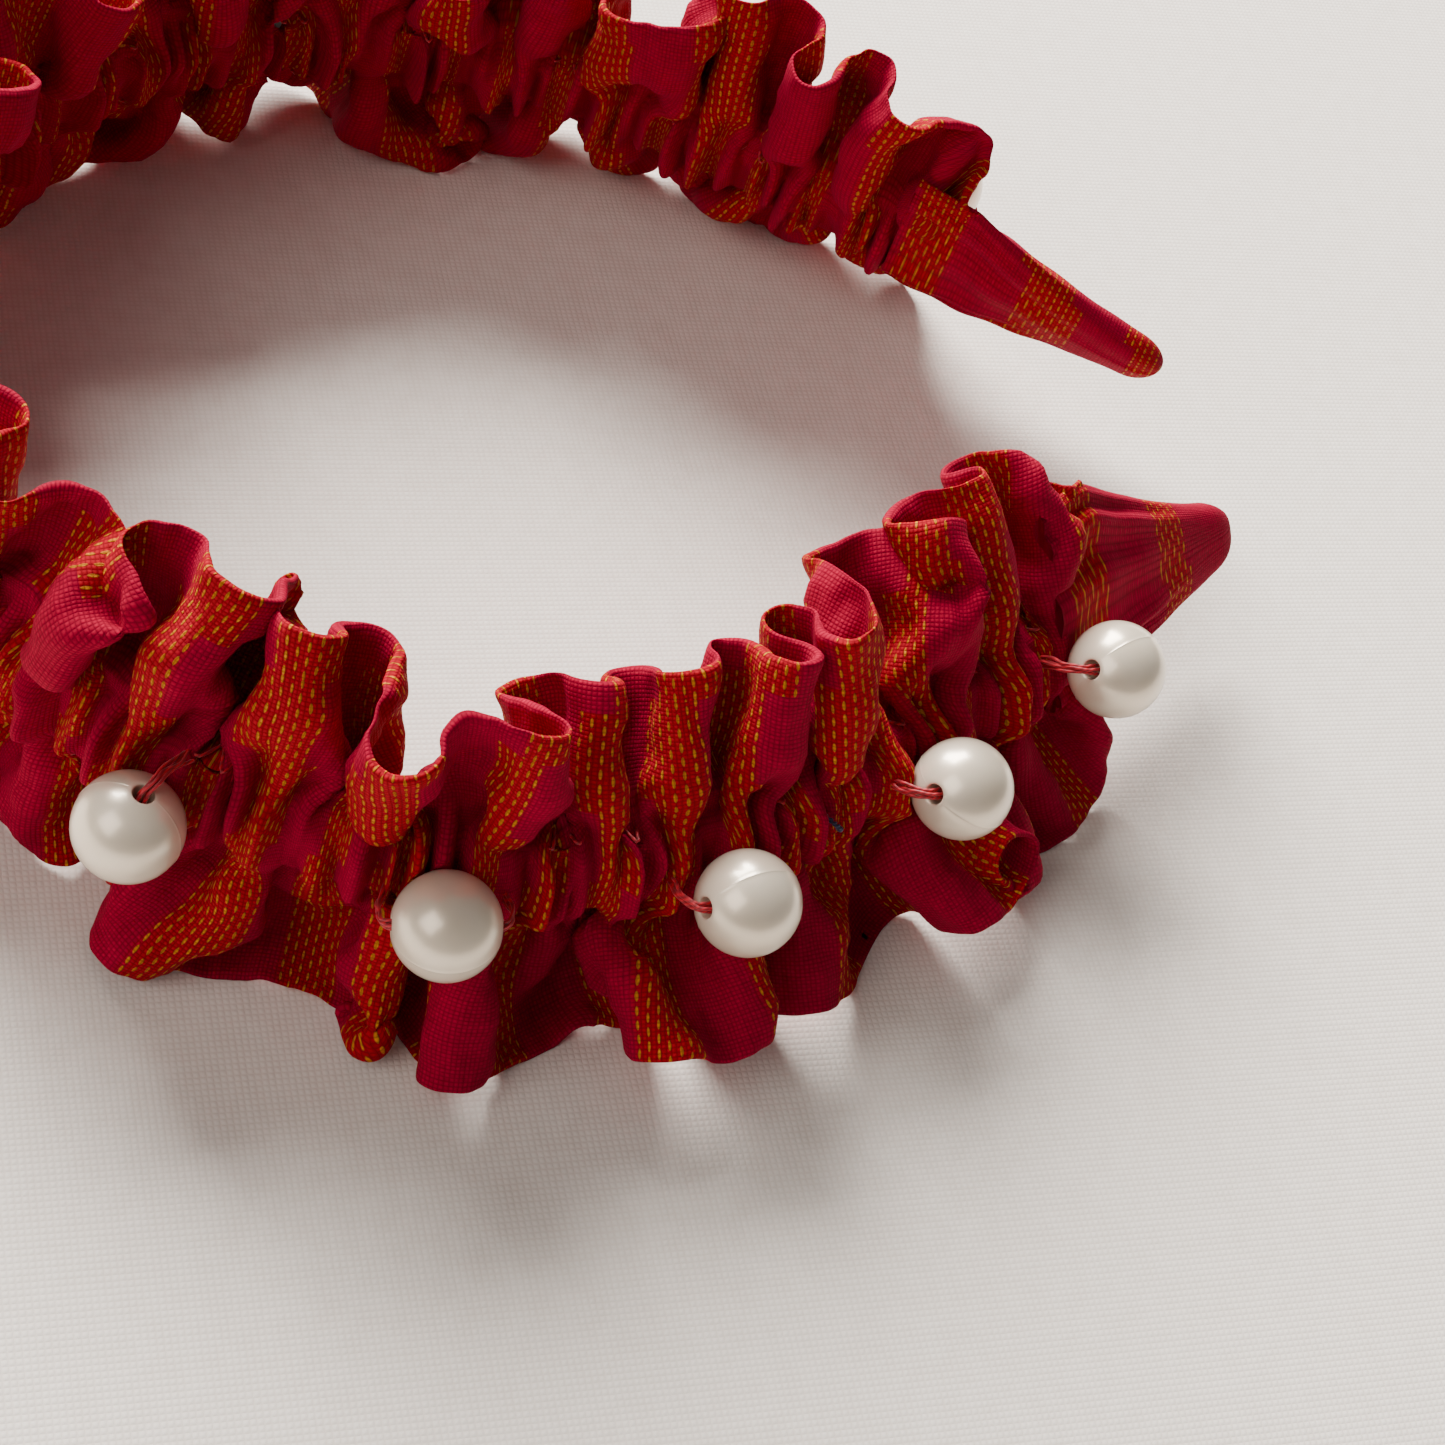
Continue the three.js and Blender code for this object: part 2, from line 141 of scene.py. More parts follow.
def grid_faces(rows, columns, close_rows=False, close_columns=False):
    """Quads over a grid of vertices numbered row by row, wrapped round where a side closes."""
    r = np.arange(rows if close_rows else rows - 1)
    c = np.arange(columns if close_columns else columns - 1)
    r, c = np.meshgrid(r, c, indexing="ij")
    r2, c2 = (r + 1) % rows, (c + 1) % columns
    quads = np.stack([r * columns + c, r2 * columns + c, r2 * columns + c2, r * columns + c2], -1)
    return quads.reshape(-1, 4)


def new_mesh_object(name, points_mm, faces):
    """An object at the origin whose smooth mesh is made of points (mm) and a list of faces."""
    mesh = bpy.data.meshes.new(name)
    mesh.from_pydata((np.asarray(points_mm).reshape(-1, 3) * MM).tolist(), [], faces)
    mesh.validate()
    obj = bpy.data.objects.new(name, mesh)
    bpy.context.scene.collection.objects.link(obj)
    mesh.polygons.foreach_set("use_smooth", np.ones(len(mesh.polygons), dtype=bool))
    return obj


def give_uv(obj, uv):
    """Writes one UV pair (metres on the flat cloth) for each corner of each face, in order."""
    layer = obj.data.uv_layers.new(name="cloth")
    layer.uv.foreach_set("vector", np.asarray(uv, dtype=np.float32).ravel())


def along_axis(values, where, axis):
    """Smooth in-between values of an array along one axis: at each fractional index in `where`
    four neighbours are weighted with the Catmull-Rom cubic."""
    values = np.moveaxis(values, axis, 0)
    whole = np.clip(np.floor(where).astype(int), 0, len(values) - 2)
    t = (where - whole).reshape([-1] + [1] * (values.ndim - 1))
    p0, p1 = values[np.maximum(whole - 1, 0)], values[whole]
    p2, p3 = values[whole + 1], values[np.minimum(whole + 2, len(values) - 1)]
    result = 0.5 * (
        2 * p1 + (p2 - p0) * t + (2 * p0 - 5 * p1 + 4 * p2 - p3) * t**2
        + (3 * p1 - p0 - 3 * p2 + p3) * t**3
    )
    return np.moveaxis(result, 0, axis)


def tube_rings(path, radius, sides):
    """Rings of points round a path (n, 3): two directions square to the path, and a circle in
    them."""
    heading = np.gradient(path, axis=0)
    heading /= np.linalg.norm(heading, axis=1, keepdims=True)
    guess = np.array([0.31, 0.17, 0.93])
    first = np.cross(heading, guess)
    first /= np.linalg.norm(first, axis=1, keepdims=True)
    second = np.cross(heading, first)
    angle = np.linspace(0, 2 * np.pi, sides, endpoint=False)[None, :, None]
    circle = np.cos(angle) * first[:, None] + np.sin(angle) * second[:, None]
    return path[:, None] + radius * circle


def joined(grids):
    """Points and faces of several closed-ring tubes, with a point at the middle of each end."""
    points, faces, first = [], [], 0
    for rings in grids:
        count, sides = rings.shape[:2]
        faces.append(grid_faces(count, sides, close_columns=True)[:, ::-1] + first)
        ends = np.array([rings[0].mean(axis=0), rings[-1].mean(axis=0)])
        points += [rings.reshape(-1, 3), ends]
        k = np.arange(sides)
        low, high = first + count * sides, first + count * sides + 1
        cap = np.stack([np.full(sides, low), k + first, (k + 1) % sides + first], -1)
        last = first + (count - 1) * sides
        lid = np.stack([np.full(sides, high), (k + 1) % sides + last, k + last], -1)
        faces.append(np.concatenate([cap, lid])[:, [0, 1, 2, 2]])
        first += count * sides + 2
    return np.concatenate(points), np.concatenate(faces)


def solid_object(name, grids):
    """A mesh object of closed tubes, with its faces turned outwards."""
    points, faces = joined(grids)
    faces = [quad[:3] if quad[2] == quad[3] else quad for quad in faces.tolist()]
    return new_mesh_object(name, points, faces)


# %% [markdown]
# ## The gathered sleeve
# On the real band a flat tube of cotton, more than twice as long as the core, is pushed together
# along two rows of stitches, one each side of the core. The stitched rows bunch into small
# puckers, and away from them the spare length opens into big soft folds. Drawing such folds by
# hand looks stiff, and a general cloth solver is slow on so much cloth in contact with itself.
# So a small solver made for this cloth does it: each frill is a grid of points, roughly gathered
# at first, and every step pulls neighbouring points back to their true distances, pushes apart
# what touches, and keeps the cloth off the beads and the table. After some hundreds of steps the
# folds lie as cloth of that length has to lie.

# %% The sleeve's pattern
GATHER = 2.3                # length of cloth for each length of core
UNGATHERED = 1.08           # the same at the sleeve's ends
COLUMN = 0.8                # mm of cloth between columns of the grid
STITCH_ROW = 4.5            # distance of each row of stitches from the centre line
END_EASE = 12.0             # length over which the gathering dies out at the tips
COVER_UPPER = 16.5          # height of the tip covers where they come out of the sleeve,
COVER_LOWER = 7.0           # above and below the centre line
BEAD_RADIUS = 5.0
BEAD_PITCH = 25.5
MIDDLE_BEAD = 7             # the one at the crown; the first is nearest the left tip
BEADS = range(1, 2 * MIDDLE_BEAD)
TABLE_GAP = 0.05            # between the cloth and the table
SMALL_FOLD = 7.4            # mm of cloth in one pucker of the stitched rows
BIG_FOLD = 25.0             # mm of cloth in one big fold of the frill
PUCKER_DEPTH, MIDDLE_DEPTH, BIG_DEPTH = 1.75, 2.3, 4.9     # of the three sizes of fold
FLATNESS = 1.7              # of the big folds' faces: near 0 is a sine, and more is boxier


def cloth_stations():
    """Cloth coordinate (mm, along the tube) of each column, the core station above it, and the
    cloth per length of core there, which falls from GATHER to nearly 1 towards both ends."""
    s = np.linspace(-SLEEVE_END - 1, SLEEVE_END + 1, 4001)
    fullness = smoothstep(SLEEVE_END - np.abs(s), 0, END_EASE)
    ratio = UNGATHERED + (GATHER - UNGATHERED) * fullness
    along = np.concatenate([[0], np.cumsum((ratio[1:] + ratio[:-1]) / 2 * np.diff(s))])
    cloth = np.linspace(0, along[-1], int(along[-1] / COLUMN))
    return cloth, np.interp(cloth, along, s), np.interp(cloth, along, ratio)


def edge_heights(station):
    """Flat half heights of the cloth above and below the centre line at each station: lower along
    the arms than at the crown, high again in the last folds, then down to the tip covers. The
    lower frill is a little longer than the way to the table, so that it splays out there."""
    reach = np.abs(station)
    upper = 22.0 - 3.4 * smoothstep(reach, 42, 76) + 3.6 * smoothstep(reach, 100, 124)
    upper = upper + np.where(station < 0, 2.6, 0.4) * smoothstep(reach, 20, 60)
    upper = upper + 3.4 * smoothstep(station, 108, 128)
    twist = TIP_TWIST * (reach / HALF_LENGTH) ** TWIST_POWER
    lower = (CROWN_HALF_HEIGHT + CORE_DROP * np.interp(reach, LINE_S, LINE_Y)) / np.cos(twist)
    lower = lower + 1.2 + 2.6 * smoothstep(reach, 40, 80)
    closing = smoothstep(reach, SLEEVE_END - 8, SLEEVE_END)
    return (upper * (1 - closing) + (COVER_UPPER + 0.2) * closing,
            lower * (1 - closing) + (COVER_LOWER + 0.4) * closing)


CLOTH, STATION, RATIO = cloth_stations()
UPPER, LOWER = edge_heights(STATION)
SPARE = (RATIO - UNGATHERED) / (GATHER - UNGATHERED)
FRILL_ROWS = np.linspace(0, 1, 15)
COLUMNS = len(CLOTH)
print("sleeve: %.0f mm of cloth on %.0f mm of core" % (CLOTH[-1], STATION[-1] - STATION[0]))


def pucker_depth():
    """Depth of the stitched puckers along the cloth, uneven, and none at the ungathered ends."""
    return SPARE * PUCKER_DEPTH * (1 + 0.25 * ripple(CLOTH, 17, 13))


def pucker(height):
    """Sideways displacement of the stitched cloth: a sine along the cloth, one SMALL_FOLD long,
    uneven in length and depth, and slanting a little across the channel."""
    phase = 2 * np.pi * CLOTH / SMALL_FOLD + 1.4 * ripple(CLOTH, 40, 11)
    slant = 0.24 * height * ripple(CLOTH, 45, 12)
    return pucker_depth() * np.sin(phase + slant)


def frill_start(side, seed):
    """One frill, roughly gathered: rows from the stitches to the folded edge. Puckers give way to
    folds twice as wide, and those to big folds, flat-faced and uneven, that grow towards the edge
    and lean along the band one way or the other."""
    edge = UPPER if side > 0 else LOWER
    share = FRILL_ROWS[:, None]
    height = side * (STITCH_ROW + share * (edge - STITCH_ROW)[None, :])
    phase = 2 * np.pi * CLOTH / BIG_FOLD + 2.3 * ripple(CLOTH, 90, seed)
    depth = BIG_DEPTH * (1 + 0.32 * ripple(CLOTH, 60, seed + 1))
    wave = np.sin(phase + 0.8 * share * ripple(CLOTH, 60, seed + 2))
    big = depth * np.tanh(FLATNESS * wave) / np.tanh(FLATNESS)
    middle = MIDDLE_DEPTH * np.sin(2 * phase + 1.5 * ripple(CLOTH, 45, seed + 3))
    small = np.clip(1 - 2.1 * share, 0, 1)
    medium = smoothstep(share, 0.0, 0.25) * (1 - 0.75 * smoothstep(share, 0.35, 0.9))
    large = smoothstep(share, 0.05, 0.75)
    sideways = pucker(height) * small + SPARE * (middle * medium + big * large)
    lean = 2.6 * share**2 * ripple(CLOTH, 35, seed + 4) * SPARE
    right_arm = 0.5 + 5.5 * smoothstep(STATION, 116, 138)
    lean_out = np.where(STATION < 0, -5.0, right_arm) if side > 0 else 4.5
    splay = lean_out * share**1.5 * smoothstep(np.abs(STATION), 30, 70)
    points = band_point(STATION[None, :] + lean, sideways + splay * SPARE, height)
    rest_across = np.diff(np.abs(height), axis=0)
    return points, rest_across


# %% [markdown]
# The solver keeps both frills in one array, rows by columns. Distances along a row, across rows
# and along both diagonals are restored in turn, even and odd pairs apart, so that no point is
# moved twice at once. Longer reaches along the cloth with a weak pull give it stiffness, which
# makes the folds round. Points of different folds that come closer than the cloth is thick push
# each other away; they are found by sorting the points into cells of space.

# %% A cloth solver in arrays
CLOTH_THICK = 0.95          # both layers of the frill together, mm
DIAGONAL_PULL = 0.35        # strength of the diagonals, against 1 along the yarns
STIFF_ALONG = ((2, 0.25), (4, 0.12), (7, 0.05))    # longer reaches in columns, and their strength
STIFF_ACROSS = ((2, 0.2), (4, 0.12))               # the same in rows
KEEP_SPEED = 0.82           # share of a point's motion kept from one step to the next
MOST_DRIFT = 0.4            # mm that a point may move on by itself in a step
HELD_COLUMNS = 4            # columns at each end that stay where they are
START_NOISE = 0.08          # mm, so that no fold starts out perfectly even
SEARCH_EVERY = 8            # steps from one search for close pairs to the next
SEARCH_EXTRA = 0.9          # mm beyond the cloth's thickness that a search looks
PUSH_MORE = 1.3             # contacts are pushed apart a little further than they ask


def restore(points, free, first, second, rest, strength):
    """Moves two slices of points along the line between them until they are `rest` apart, each by
    its share of freedom. With strength under 1 only part of the way is made up."""
    gap = points[second] - points[first]
    length = np.sqrt(np.einsum("...i,...i->...", gap, gap)) + 1e-6
    share = free[first] + free[second]
    move = strength * (length - rest) / (length * np.maximum(share, 1e-6))
    push = gap * move[..., None]
    points[first] += push * free[first][..., None]
    points[second] -= push * free[second][..., None]


def pairs_along(rows, columns, down, right):
    """Slices of the even and of the odd pairs that are `down` rows and `right` columns apart."""
    step = max(down, abs(right))
    result = []
    for parity in (0, 1):
        if down:
            r1 = [r for r in range(rows - down) if (r // step) % 2 == parity]
            c1 = slice(max(0, -right), columns - max(0, right))
            c2 = slice(max(0, right), columns - max(0, -right))
            result.append(((np.array(r1), c1), (np.array(r1) + down, c2)))
        else:
            c1 = np.array([c for c in range(columns - right) if (c // step) % 2 == parity])
            result.append(((slice(None), c1), (slice(None), c1 + right)))
    return result


def near_pairs(points, labels, reach):
    """Index pairs of points closer than `reach` that aren't neighbours in the cloth. Points are
    sorted by the cell of space that they are in, and each is compared with the points of its own
    cell and of half of the cells around it, so that a pair is found once."""
    cell = np.floor(points / reach).astype(np.int64)
    cell -= cell.min(axis=0)
    size = cell.max(axis=0) + 3
    key = (cell[:, 0] * size[1] + cell[:, 1]) * size[2] + cell[:, 2]
    order = np.argsort(key, kind="stable")
    sorted_key = key[order]
    found = []
    for dx, dy, dz in HALF_NEIGHBOURS:
        other = key + (dx * size[1] + dy) * size[2] + dz
        low = np.searchsorted(sorted_key, other, "left")
        high = np.searchsorted(sorted_key, other, "right")
        for step in range(int((high - low).max())):
            here = np.flatnonzero(low + step < high)
            there = order[low[here] + step]
            apart = points[here] - points[there]
            close = np.einsum("ij,ij->i", apart, apart) < reach * reach
            if dx == dy == dz == 0:
                close &= here < there
            found.append(np.stack([here[close], there[close]], 1))
    pairs = np.concatenate(found)
    a, b = labels[pairs[:, 0]], labels[pairs[:, 1]]
    steps = np.abs(a - b)
    same = (steps[:, 0] == 0) & (steps[:, 1] <= 2) & (steps[:, 2] <= 3)
    return pairs[~same]


HALF_NEIGHBOURS = [(0, 0, 0)] + [
    (dx, dy, dz)
    for dx in (-1, 0, 1) for dy in (-1, 0, 1) for dz in (-1, 0, 1)
    if (dx, dy, dz) > (0, 0, 0)
]


def push_apart(points, free, pairs, thick):
    """Moves each close pair apart to the cloth's thickness; a point in several pairs moves by the
    average of what they ask."""
    a, b = pairs[:, 0], pairs[:, 1]
    gap = points[b] - points[a]
    length = np.sqrt(np.einsum("ij,ij->i", gap, gap)) + 1e-6
    short = np.clip(thick - length, 0, None)
    touching = short > 0
    a, b, gap = a[touching], b[touching], gap[touching]
    push = gap * (0.5 * short[touching] / length[touching])[:, None]
    count = np.bincount(a, minlength=len(points)) + np.bincount(b, minlength=len(points))
    for axis in range(3):
        ahead = np.bincount(b, push[:, axis], len(points))
        behind = np.bincount(a, push[:, axis], len(points))
        points[:, axis] += free * (ahead - behind) / np.maximum(count, 1) * PUSH_MORE


def bead_centres():
    """The middle of each bead (mm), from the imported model."""
    centres = []
    for number in BEADS:
        low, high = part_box("pearl_%02d" % number)
        centres.append((np.array(low) + np.array(high)) / 2 / MM)
    return np.array(centres)


def keep_clear(points, free, centres):
    """Pushes points out of the beads, and up off the table, by half the cloth's thickness."""
    for centre in centres:
        box = np.abs(points - centre).max(axis=1) < BEAD_RADIUS + CLOTH_THICK
        inside = np.flatnonzero(box)
        away = points[inside] - centre
        distance = np.linalg.norm(away, axis=1) + 1e-6
        short = np.clip(BEAD_RADIUS + CLOTH_THICK / 2 - distance, 0, None)
        points[inside] += away * (short / distance * free[inside])[:, None]
    points[:, 2] = np.maximum(points[:, 2], CLOTH_THICK / 2)


def relax_frills(steps):
    """Relaxes the upper and the lower frill together and returns them as arrays of points."""
    starts = [frill_start(1, 21), frill_start(-1, 41)]
    grids = [start[0].astype(np.float32) for start in starts]
    rows = len(FRILL_ROWS)
    free = np.ones((rows, COLUMNS), dtype=np.float32)
    free[0] = 0
    free[:, :HELD_COLUMNS] = 0
    free[:, -HELD_COLUMNS:] = 0
    labels = np.stack(np.meshgrid([0, 1], np.arange(rows), np.arange(COLUMNS), indexing="ij"), -1)
    labels = labels.reshape(-1, 3)
    both_free = np.concatenate([free.ravel()] * 2)
    centres = bead_centres()
    cloth_step = CLOTH[1] - CLOTH[0]
    links = []
    for (_, across), grid in zip(starts, grids):
        across_mid = np.concatenate([across, across[-1:]], axis=0)
        for first, second in pairs_along(rows, COLUMNS, 0, 1):
            links.append((grid, first, second, cloth_step, 1.0))
        for first, second in pairs_along(rows, COLUMNS, 1, 0):
            links.append((grid, first, second, across[first[0]], 1.0))
        for right in (1, -1):
            for first, second in pairs_along(rows, COLUMNS, 1, right):
                rest = np.hypot(across[first[0]][:, first[1]], cloth_step)
                links.append((grid, first, second, rest, DIAGONAL_PULL))
        for reach, strength in STIFF_ALONG:
            for first, second in pairs_along(rows, COLUMNS, 0, reach):
                links.append((grid, first, second, reach * cloth_step, strength))
        for reach, strength in STIFF_ACROSS:
            for first, second in pairs_along(rows, COLUMNS, reach, 0):
                rest = sum(across_mid[first[0] + k] for k in range(reach))
                links.append((grid, first, second, rest, strength))
    random = np.random.RandomState(5)
    for grid in grids:
        grid += (random.normal(0, START_NOISE, grid.shape) * free[..., None]).astype(np.float32)
    previous = [grid.copy() for grid in grids]
    pairs = None
    for step in range(steps):
        for grid, before in zip(grids, previous):
            drift = (grid - before) * KEEP_SPEED
            before[:] = grid
            size = np.linalg.norm(drift, axis=-1, keepdims=True)
            grid += drift * np.minimum(1, MOST_DRIFT / (size + 1e-6)) * free[..., None]
        for grid, first, second, rest, strength in links:
            restore(grid, free, first, second, rest, strength)
        flat = np.concatenate([grid.reshape(-1, 3) for grid in grids])
        if step % SEARCH_EVERY == 0:
            pairs = near_pairs(flat, labels, CLOTH_THICK + SEARCH_EXTRA)
        push_apart(flat, both_free, pairs, CLOTH_THICK)
        keep_clear(flat, both_free, centres)
        half = rows * COLUMNS
        grids[0][:] = flat[:half].reshape(rows, COLUMNS, 3)
        grids[1][:] = flat[half:].reshape(rows, COLUMNS, 3)
    return [grid.astype(float) for grid in grids]


RELAX_STEPS = 320
UPPER_FRILL, LOWER_FRILL = relax_frills(RELAX_STEPS)
stretch = np.linalg.norm(np.diff(UPPER_FRILL, axis=1), axis=-1).mean() / (CLOTH[1] - CLOTH[0])
print("relaxed %d steps; mean length of the cloth is %.2f times flat" % (RELAX_STEPS, stretch))

# %% [markdown]
# The relaxed frills are single sheets half way between the two layers of the flattened tube. To
# get the real tube, each sheet is resampled more finely and offset to both sides along its
# normal, with the gap closing to a round fold at the edge. Between the two rows of stitches the
# layers part to pass outside and inside the core, puckered as the stitches gather them. The
# cross-sections, one for each column, are rings of one closed surface.

# %% The tube of cloth
FINE_COLUMN = 0.31          # mm of cloth between the finished mesh's columns
FOLD_ROUND = 0.8            # width over which the two layers meet at the folded edge
LAYER_GAP = 0.36            # half the distance between the layers of a frill
STITCH_GAP = 0.34           # the same at the stitches, which hold the layers together
NEAR_CORE = 9.0             # distance from the centre line within which the cloth is evened out
SQUEEZED = 0.62             # share of its flat length below which a layer is evened out
SQUEEZE_PASSES = 8
CORE_ROOM = 0.4             # between the core's face and the cloth
BEAD_ROOM = 0.25            # between a bead and the cloth
SHARES = np.concatenate([np.linspace(0, 0.88, 12), [0.92, 0.955, 0.98, 0.993, 1.0]])
CHANNEL = np.linspace(1, -1, 11)[1:-1] * STITCH_ROW


def frill_layers(mid, edge, side):
    """Outer and inner layer of one frill at SHARES of its height: the sheet plus and minus its
    normal times a gap that grows from the stitches and closes like an ellipse at the fold."""
    rows = along_axis(mid, SHARES * (len(FRILL_ROWS) - 1), 0)
    normal = np.cross(np.gradient(rows, axis=0), np.gradient(rows, axis=1)) * side
    normal /= np.linalg.norm(normal, axis=-1, keepdims=True) + 1e-9
    length = (edge - STITCH_ROW)[None, :]
    to_edge = (1 - SHARES[:, None]) * length
    fold = np.sqrt(1 - np.clip(1 - to_edge / FOLD_ROUND, 0, 1) ** 2)
    open_up = STITCH_GAP + (LAYER_GAP - STITCH_GAP) * smoothstep(SHARES[:, None], 0, 0.3)
    height = side * (STITCH_ROW + SHARES[:, None] * length)
    cloth = np.linspace(0, CLOTH[-1], rows.shape[1])[None, :]
    uneven = 0.26 * wrinkles(cloth, height, 71) + 0.11 * wrinkles(2.1 * cloth, 2.1 * height, 73)
    uneven = uneven * smoothstep(SHARES[:, None], 0, 0.4)
    puff = 1 + 0.5 * wrinkles(cloth, height, 72) * smoothstep(SHARES[:, None], 0.1, 0.5)
    gap = fold * open_up * np.clip(puff, 0.6, 1.8)
    rows = rows + uneven[..., None] * normal
    return rows + gap[..., None] * normal, rows - gap[..., None] * normal, height


def channel_layer(top, bottom, station, face, depth):
    """The layer outside (face 1) or inside (face -1) the core, between the rows of stitches: a
    straight blend of the two stitched rows, lifted off the core by a rounded step."""
    height = CHANNEL[:, None, None]
    share = (STITCH_ROW - height) / (2 * STITCH_ROW)
    outward = band_point(station, 1.0, 0.0) - band_point(station, 0.0, 0.0)
    over = smoothstep(STITCH_ROW - np.abs(height), 0, 1.3)
    lift = over * (CORE_THICKNESS / 2 + 0.3 - STITCH_GAP + depth[None, :, None])
    return (1 - share) * top + share * bottom + face * lift * outward


def wrinkles(along, across, seed):
    """Small soft unevenness of the cloth between about -1 and 1: twelve plane waves of random
    direction, 5 to 14 mm long."""
    random = np.random.RandomState(seed)
    total = 0.0
    for _ in range(12):
        turn, length = random.uniform(0, np.pi), random.uniform(5, 14)
        run = along * np.cos(turn) + across * np.sin(turn)
        total = total + np.sin(2 * np.pi * (run / length + random.uniform()))
    return total / math.sqrt(6)


def soften(ring, from_middle):
    """Evens out, in place, the puckers near the core and wherever a layer is squeezed along the
    cloth, so that it doesn't cross itself inside a fold."""
    near = 0.45 * smoothstep(NEAR_CORE - from_middle, 0, 3.0)[..., None]
    for _ in range(2):
        ring += near * ((np.roll(ring, 1, axis=0) + np.roll(ring, -1, axis=0)) / 2 - ring)
        ring[:, 1:-1] += 0.4 * near[:, 1:-1] * ((ring[:, 2:] + ring[:, :-2]) / 2 - ring[:, 1:-1])
    for _ in range(SQUEEZE_PASSES):
        length = np.linalg.norm(ring[:, 2:] - ring[:, :-2], axis=-1) / (2 * FINE_COLUMN)
        squeezed = 0.5 * smoothstep(SQUEEZED - length, 0, 0.3)[..., None]
        ring[:, 1:-1] += squeezed * ((ring[:, 2:] + ring[:, :-2]) / 2 - ring[:, 1:-1])


def clear_core(ring, from_middle, station):
    """Pushes the channel's two layers, in place, out of the core and a little off it."""
    middle = band_point(station, 0.0, 0.0)
    outward = band_point(station, 1.0, 0.0) - middle
    upward = band_point(station, 0.0, 1.0) - middle
    face = np.where(np.arange(len(ring)) < 2 * len(SHARES) + len(CHANNEL), 1.0, -1.0)[:, None]
    away = ((ring - middle) * outward).sum(axis=-1) * face
    high = np.abs(((ring - middle) * upward).sum(axis=-1))
    room = (CORE_THICKNESS / 2 + CORE_ROOM) * smoothstep(4.8 - high, 0, 1.2)
    short = np.where(from_middle < NEAR_CORE, np.clip(room - away, 0, None), 0) * face
    ring += short[..., None] * outward


def tube_of_cloth():
    """Points (columns, ring, 3) of the whole tube and each point's flat coordinates (mm)."""
    fine = np.arange(0, CLOTH[-1], FINE_COLUMN)
    where = fine / (CLOTH[1] - CLOTH[0])
    station = np.interp(fine, CLOTH, STATION)
    upper, lower = np.interp(fine, CLOTH, UPPER), np.interp(fine, CLOTH, LOWER)
    up_out, up_in, up_height = frill_layers(along_axis(UPPER_FRILL, where, 1), upper, 1)
    low_out, low_in, low_height = frill_layers(along_axis(LOWER_FRILL, where, 1), lower, -1)
    depth = np.interp(fine, CLOTH, pucker_depth())
    out = channel_layer(up_out[0], low_out[0], station, 1, depth)
    back = channel_layer(up_in[0], low_in[0], station, -1, depth)
    ring = np.concatenate([
        up_out[::-1], out, low_out, low_in[-2::-1], back[::-1], up_in[:-1],
    ])
    height = np.broadcast_to(CHANNEL[:, None], out.shape[:2])
    under = -2 * lower[None, :]
    flat = np.concatenate([
        up_height[::-1], height, low_height,
        under - low_height[-2::-1], under - height[::-1], under - up_height,
    ])
    from_middle = np.minimum(np.abs(flat), np.abs(under - flat))[:-1]
    soften(ring, from_middle)
    clear_core(ring, from_middle, station)
    return ring.transpose(1, 0, 2), station, fine, flat.T


TUBE, TUBE_STATION, TUBE_CLOTH, TUBE_FLAT = tube_of_cloth()
flat_points = TUBE.reshape(-1, 3)
for centre in bead_centres():
    away = flat_points - centre
    distance = np.linalg.norm(away, axis=1)
    inside = distance < BEAD_RADIUS + BEAD_ROOM
    grow = (BEAD_RADIUS + BEAD_ROOM) / distance[inside] - 1
    flat_points[inside] += away[inside] * grow[:, None]
flat_points[:, 2] = np.maximum(flat_points[:, 2], TABLE_GAP)
TUBE = flat_points.reshape(TUBE.shape)
print("tube: %d columns of %d points" % TUBE.shape[:2])


def sleeve_piece(name, first, last):
    """One piece of the sleeve from column `first` to `last`, with the cloth's own coordinates."""
    columns, around = last - first + 1, TUBE.shape[1]
    faces = grid_faces(columns, around, close_columns=True).tolist()
    obj = new_mesh_object(name, TUBE[first:last + 1], faces)
    c, r = np.meshgrid(np.arange(columns - 1), np.arange(around), indexing="ij")
    corner_c = np.stack([c, c + 1, c + 1, c], -1) + first
    corner_r = np.stack([r, r, r + 1, r + 1], -1)
    u = TUBE_CLOTH[corner_c] * MM
    v = TUBE_FLAT[corner_c, corner_r] * MM
    give_uv(obj, np.stack([u, v], -1))
    return obj


MIDDLE = int(np.argmin(np.abs(TUBE_STATION)))
GATHER_RADIUS = 0.16        # of a gathering thread
GATHER_START = 20           # columns between the sleeve's end and the first stitch


def gathering_thread(name, first, last):
    """Both running threads of one half: thin tubes that follow the puckers between the layers."""
    where = TUBE_CLOTH[first:last] / (CLOTH[1] - CLOTH[0])
    lines = [along_axis(grid[0], where, 0) for grid in (UPPER_FRILL, LOWER_FRILL)]
    return solid_object(name, [tube_rings(line[::2], GATHER_RADIUS, 6) for line in lines])


gather_left = gathering_thread("gathering_thread_left", GATHER_START, MIDDLE)
gather_right = gathering_thread("gathering_thread_right", MIDDLE, len(TUBE) - GATHER_START)
sleeve_left = sleeve_piece("gathered_sleeve_left", 0, MIDDLE)
sleeve_right = sleeve_piece("gathered_sleeve_right", MIDDLE, len(TUBE) - 1)
print("sleeve faces:", len(sleeve_left.data.polygons), len(sleeve_right.data.polygons))

# %% [markdown]
# ## Camera, table and light
# The band lies on a pale table and is seen from above its left arm, close enough that the crown
# runs out of view. A broad window behind the band throws soft shadows towards the viewer, and a
# weak fill comes from the left.

# %% Camera
LENS_FOCAL = 2964.0 / 1445.0    # focal length over the width of the image
CAMERA_PLACE = np.array([-192.96, 88.91, 235.70])
FORWARD = np.array([0.54141, -0.34977, -0.76455])
RIGHT = np.array([-0.22146, -0.93657, 0.27164])


def unit(vector):
    return np.asarray(vector) / np.linalg.norm(vector)


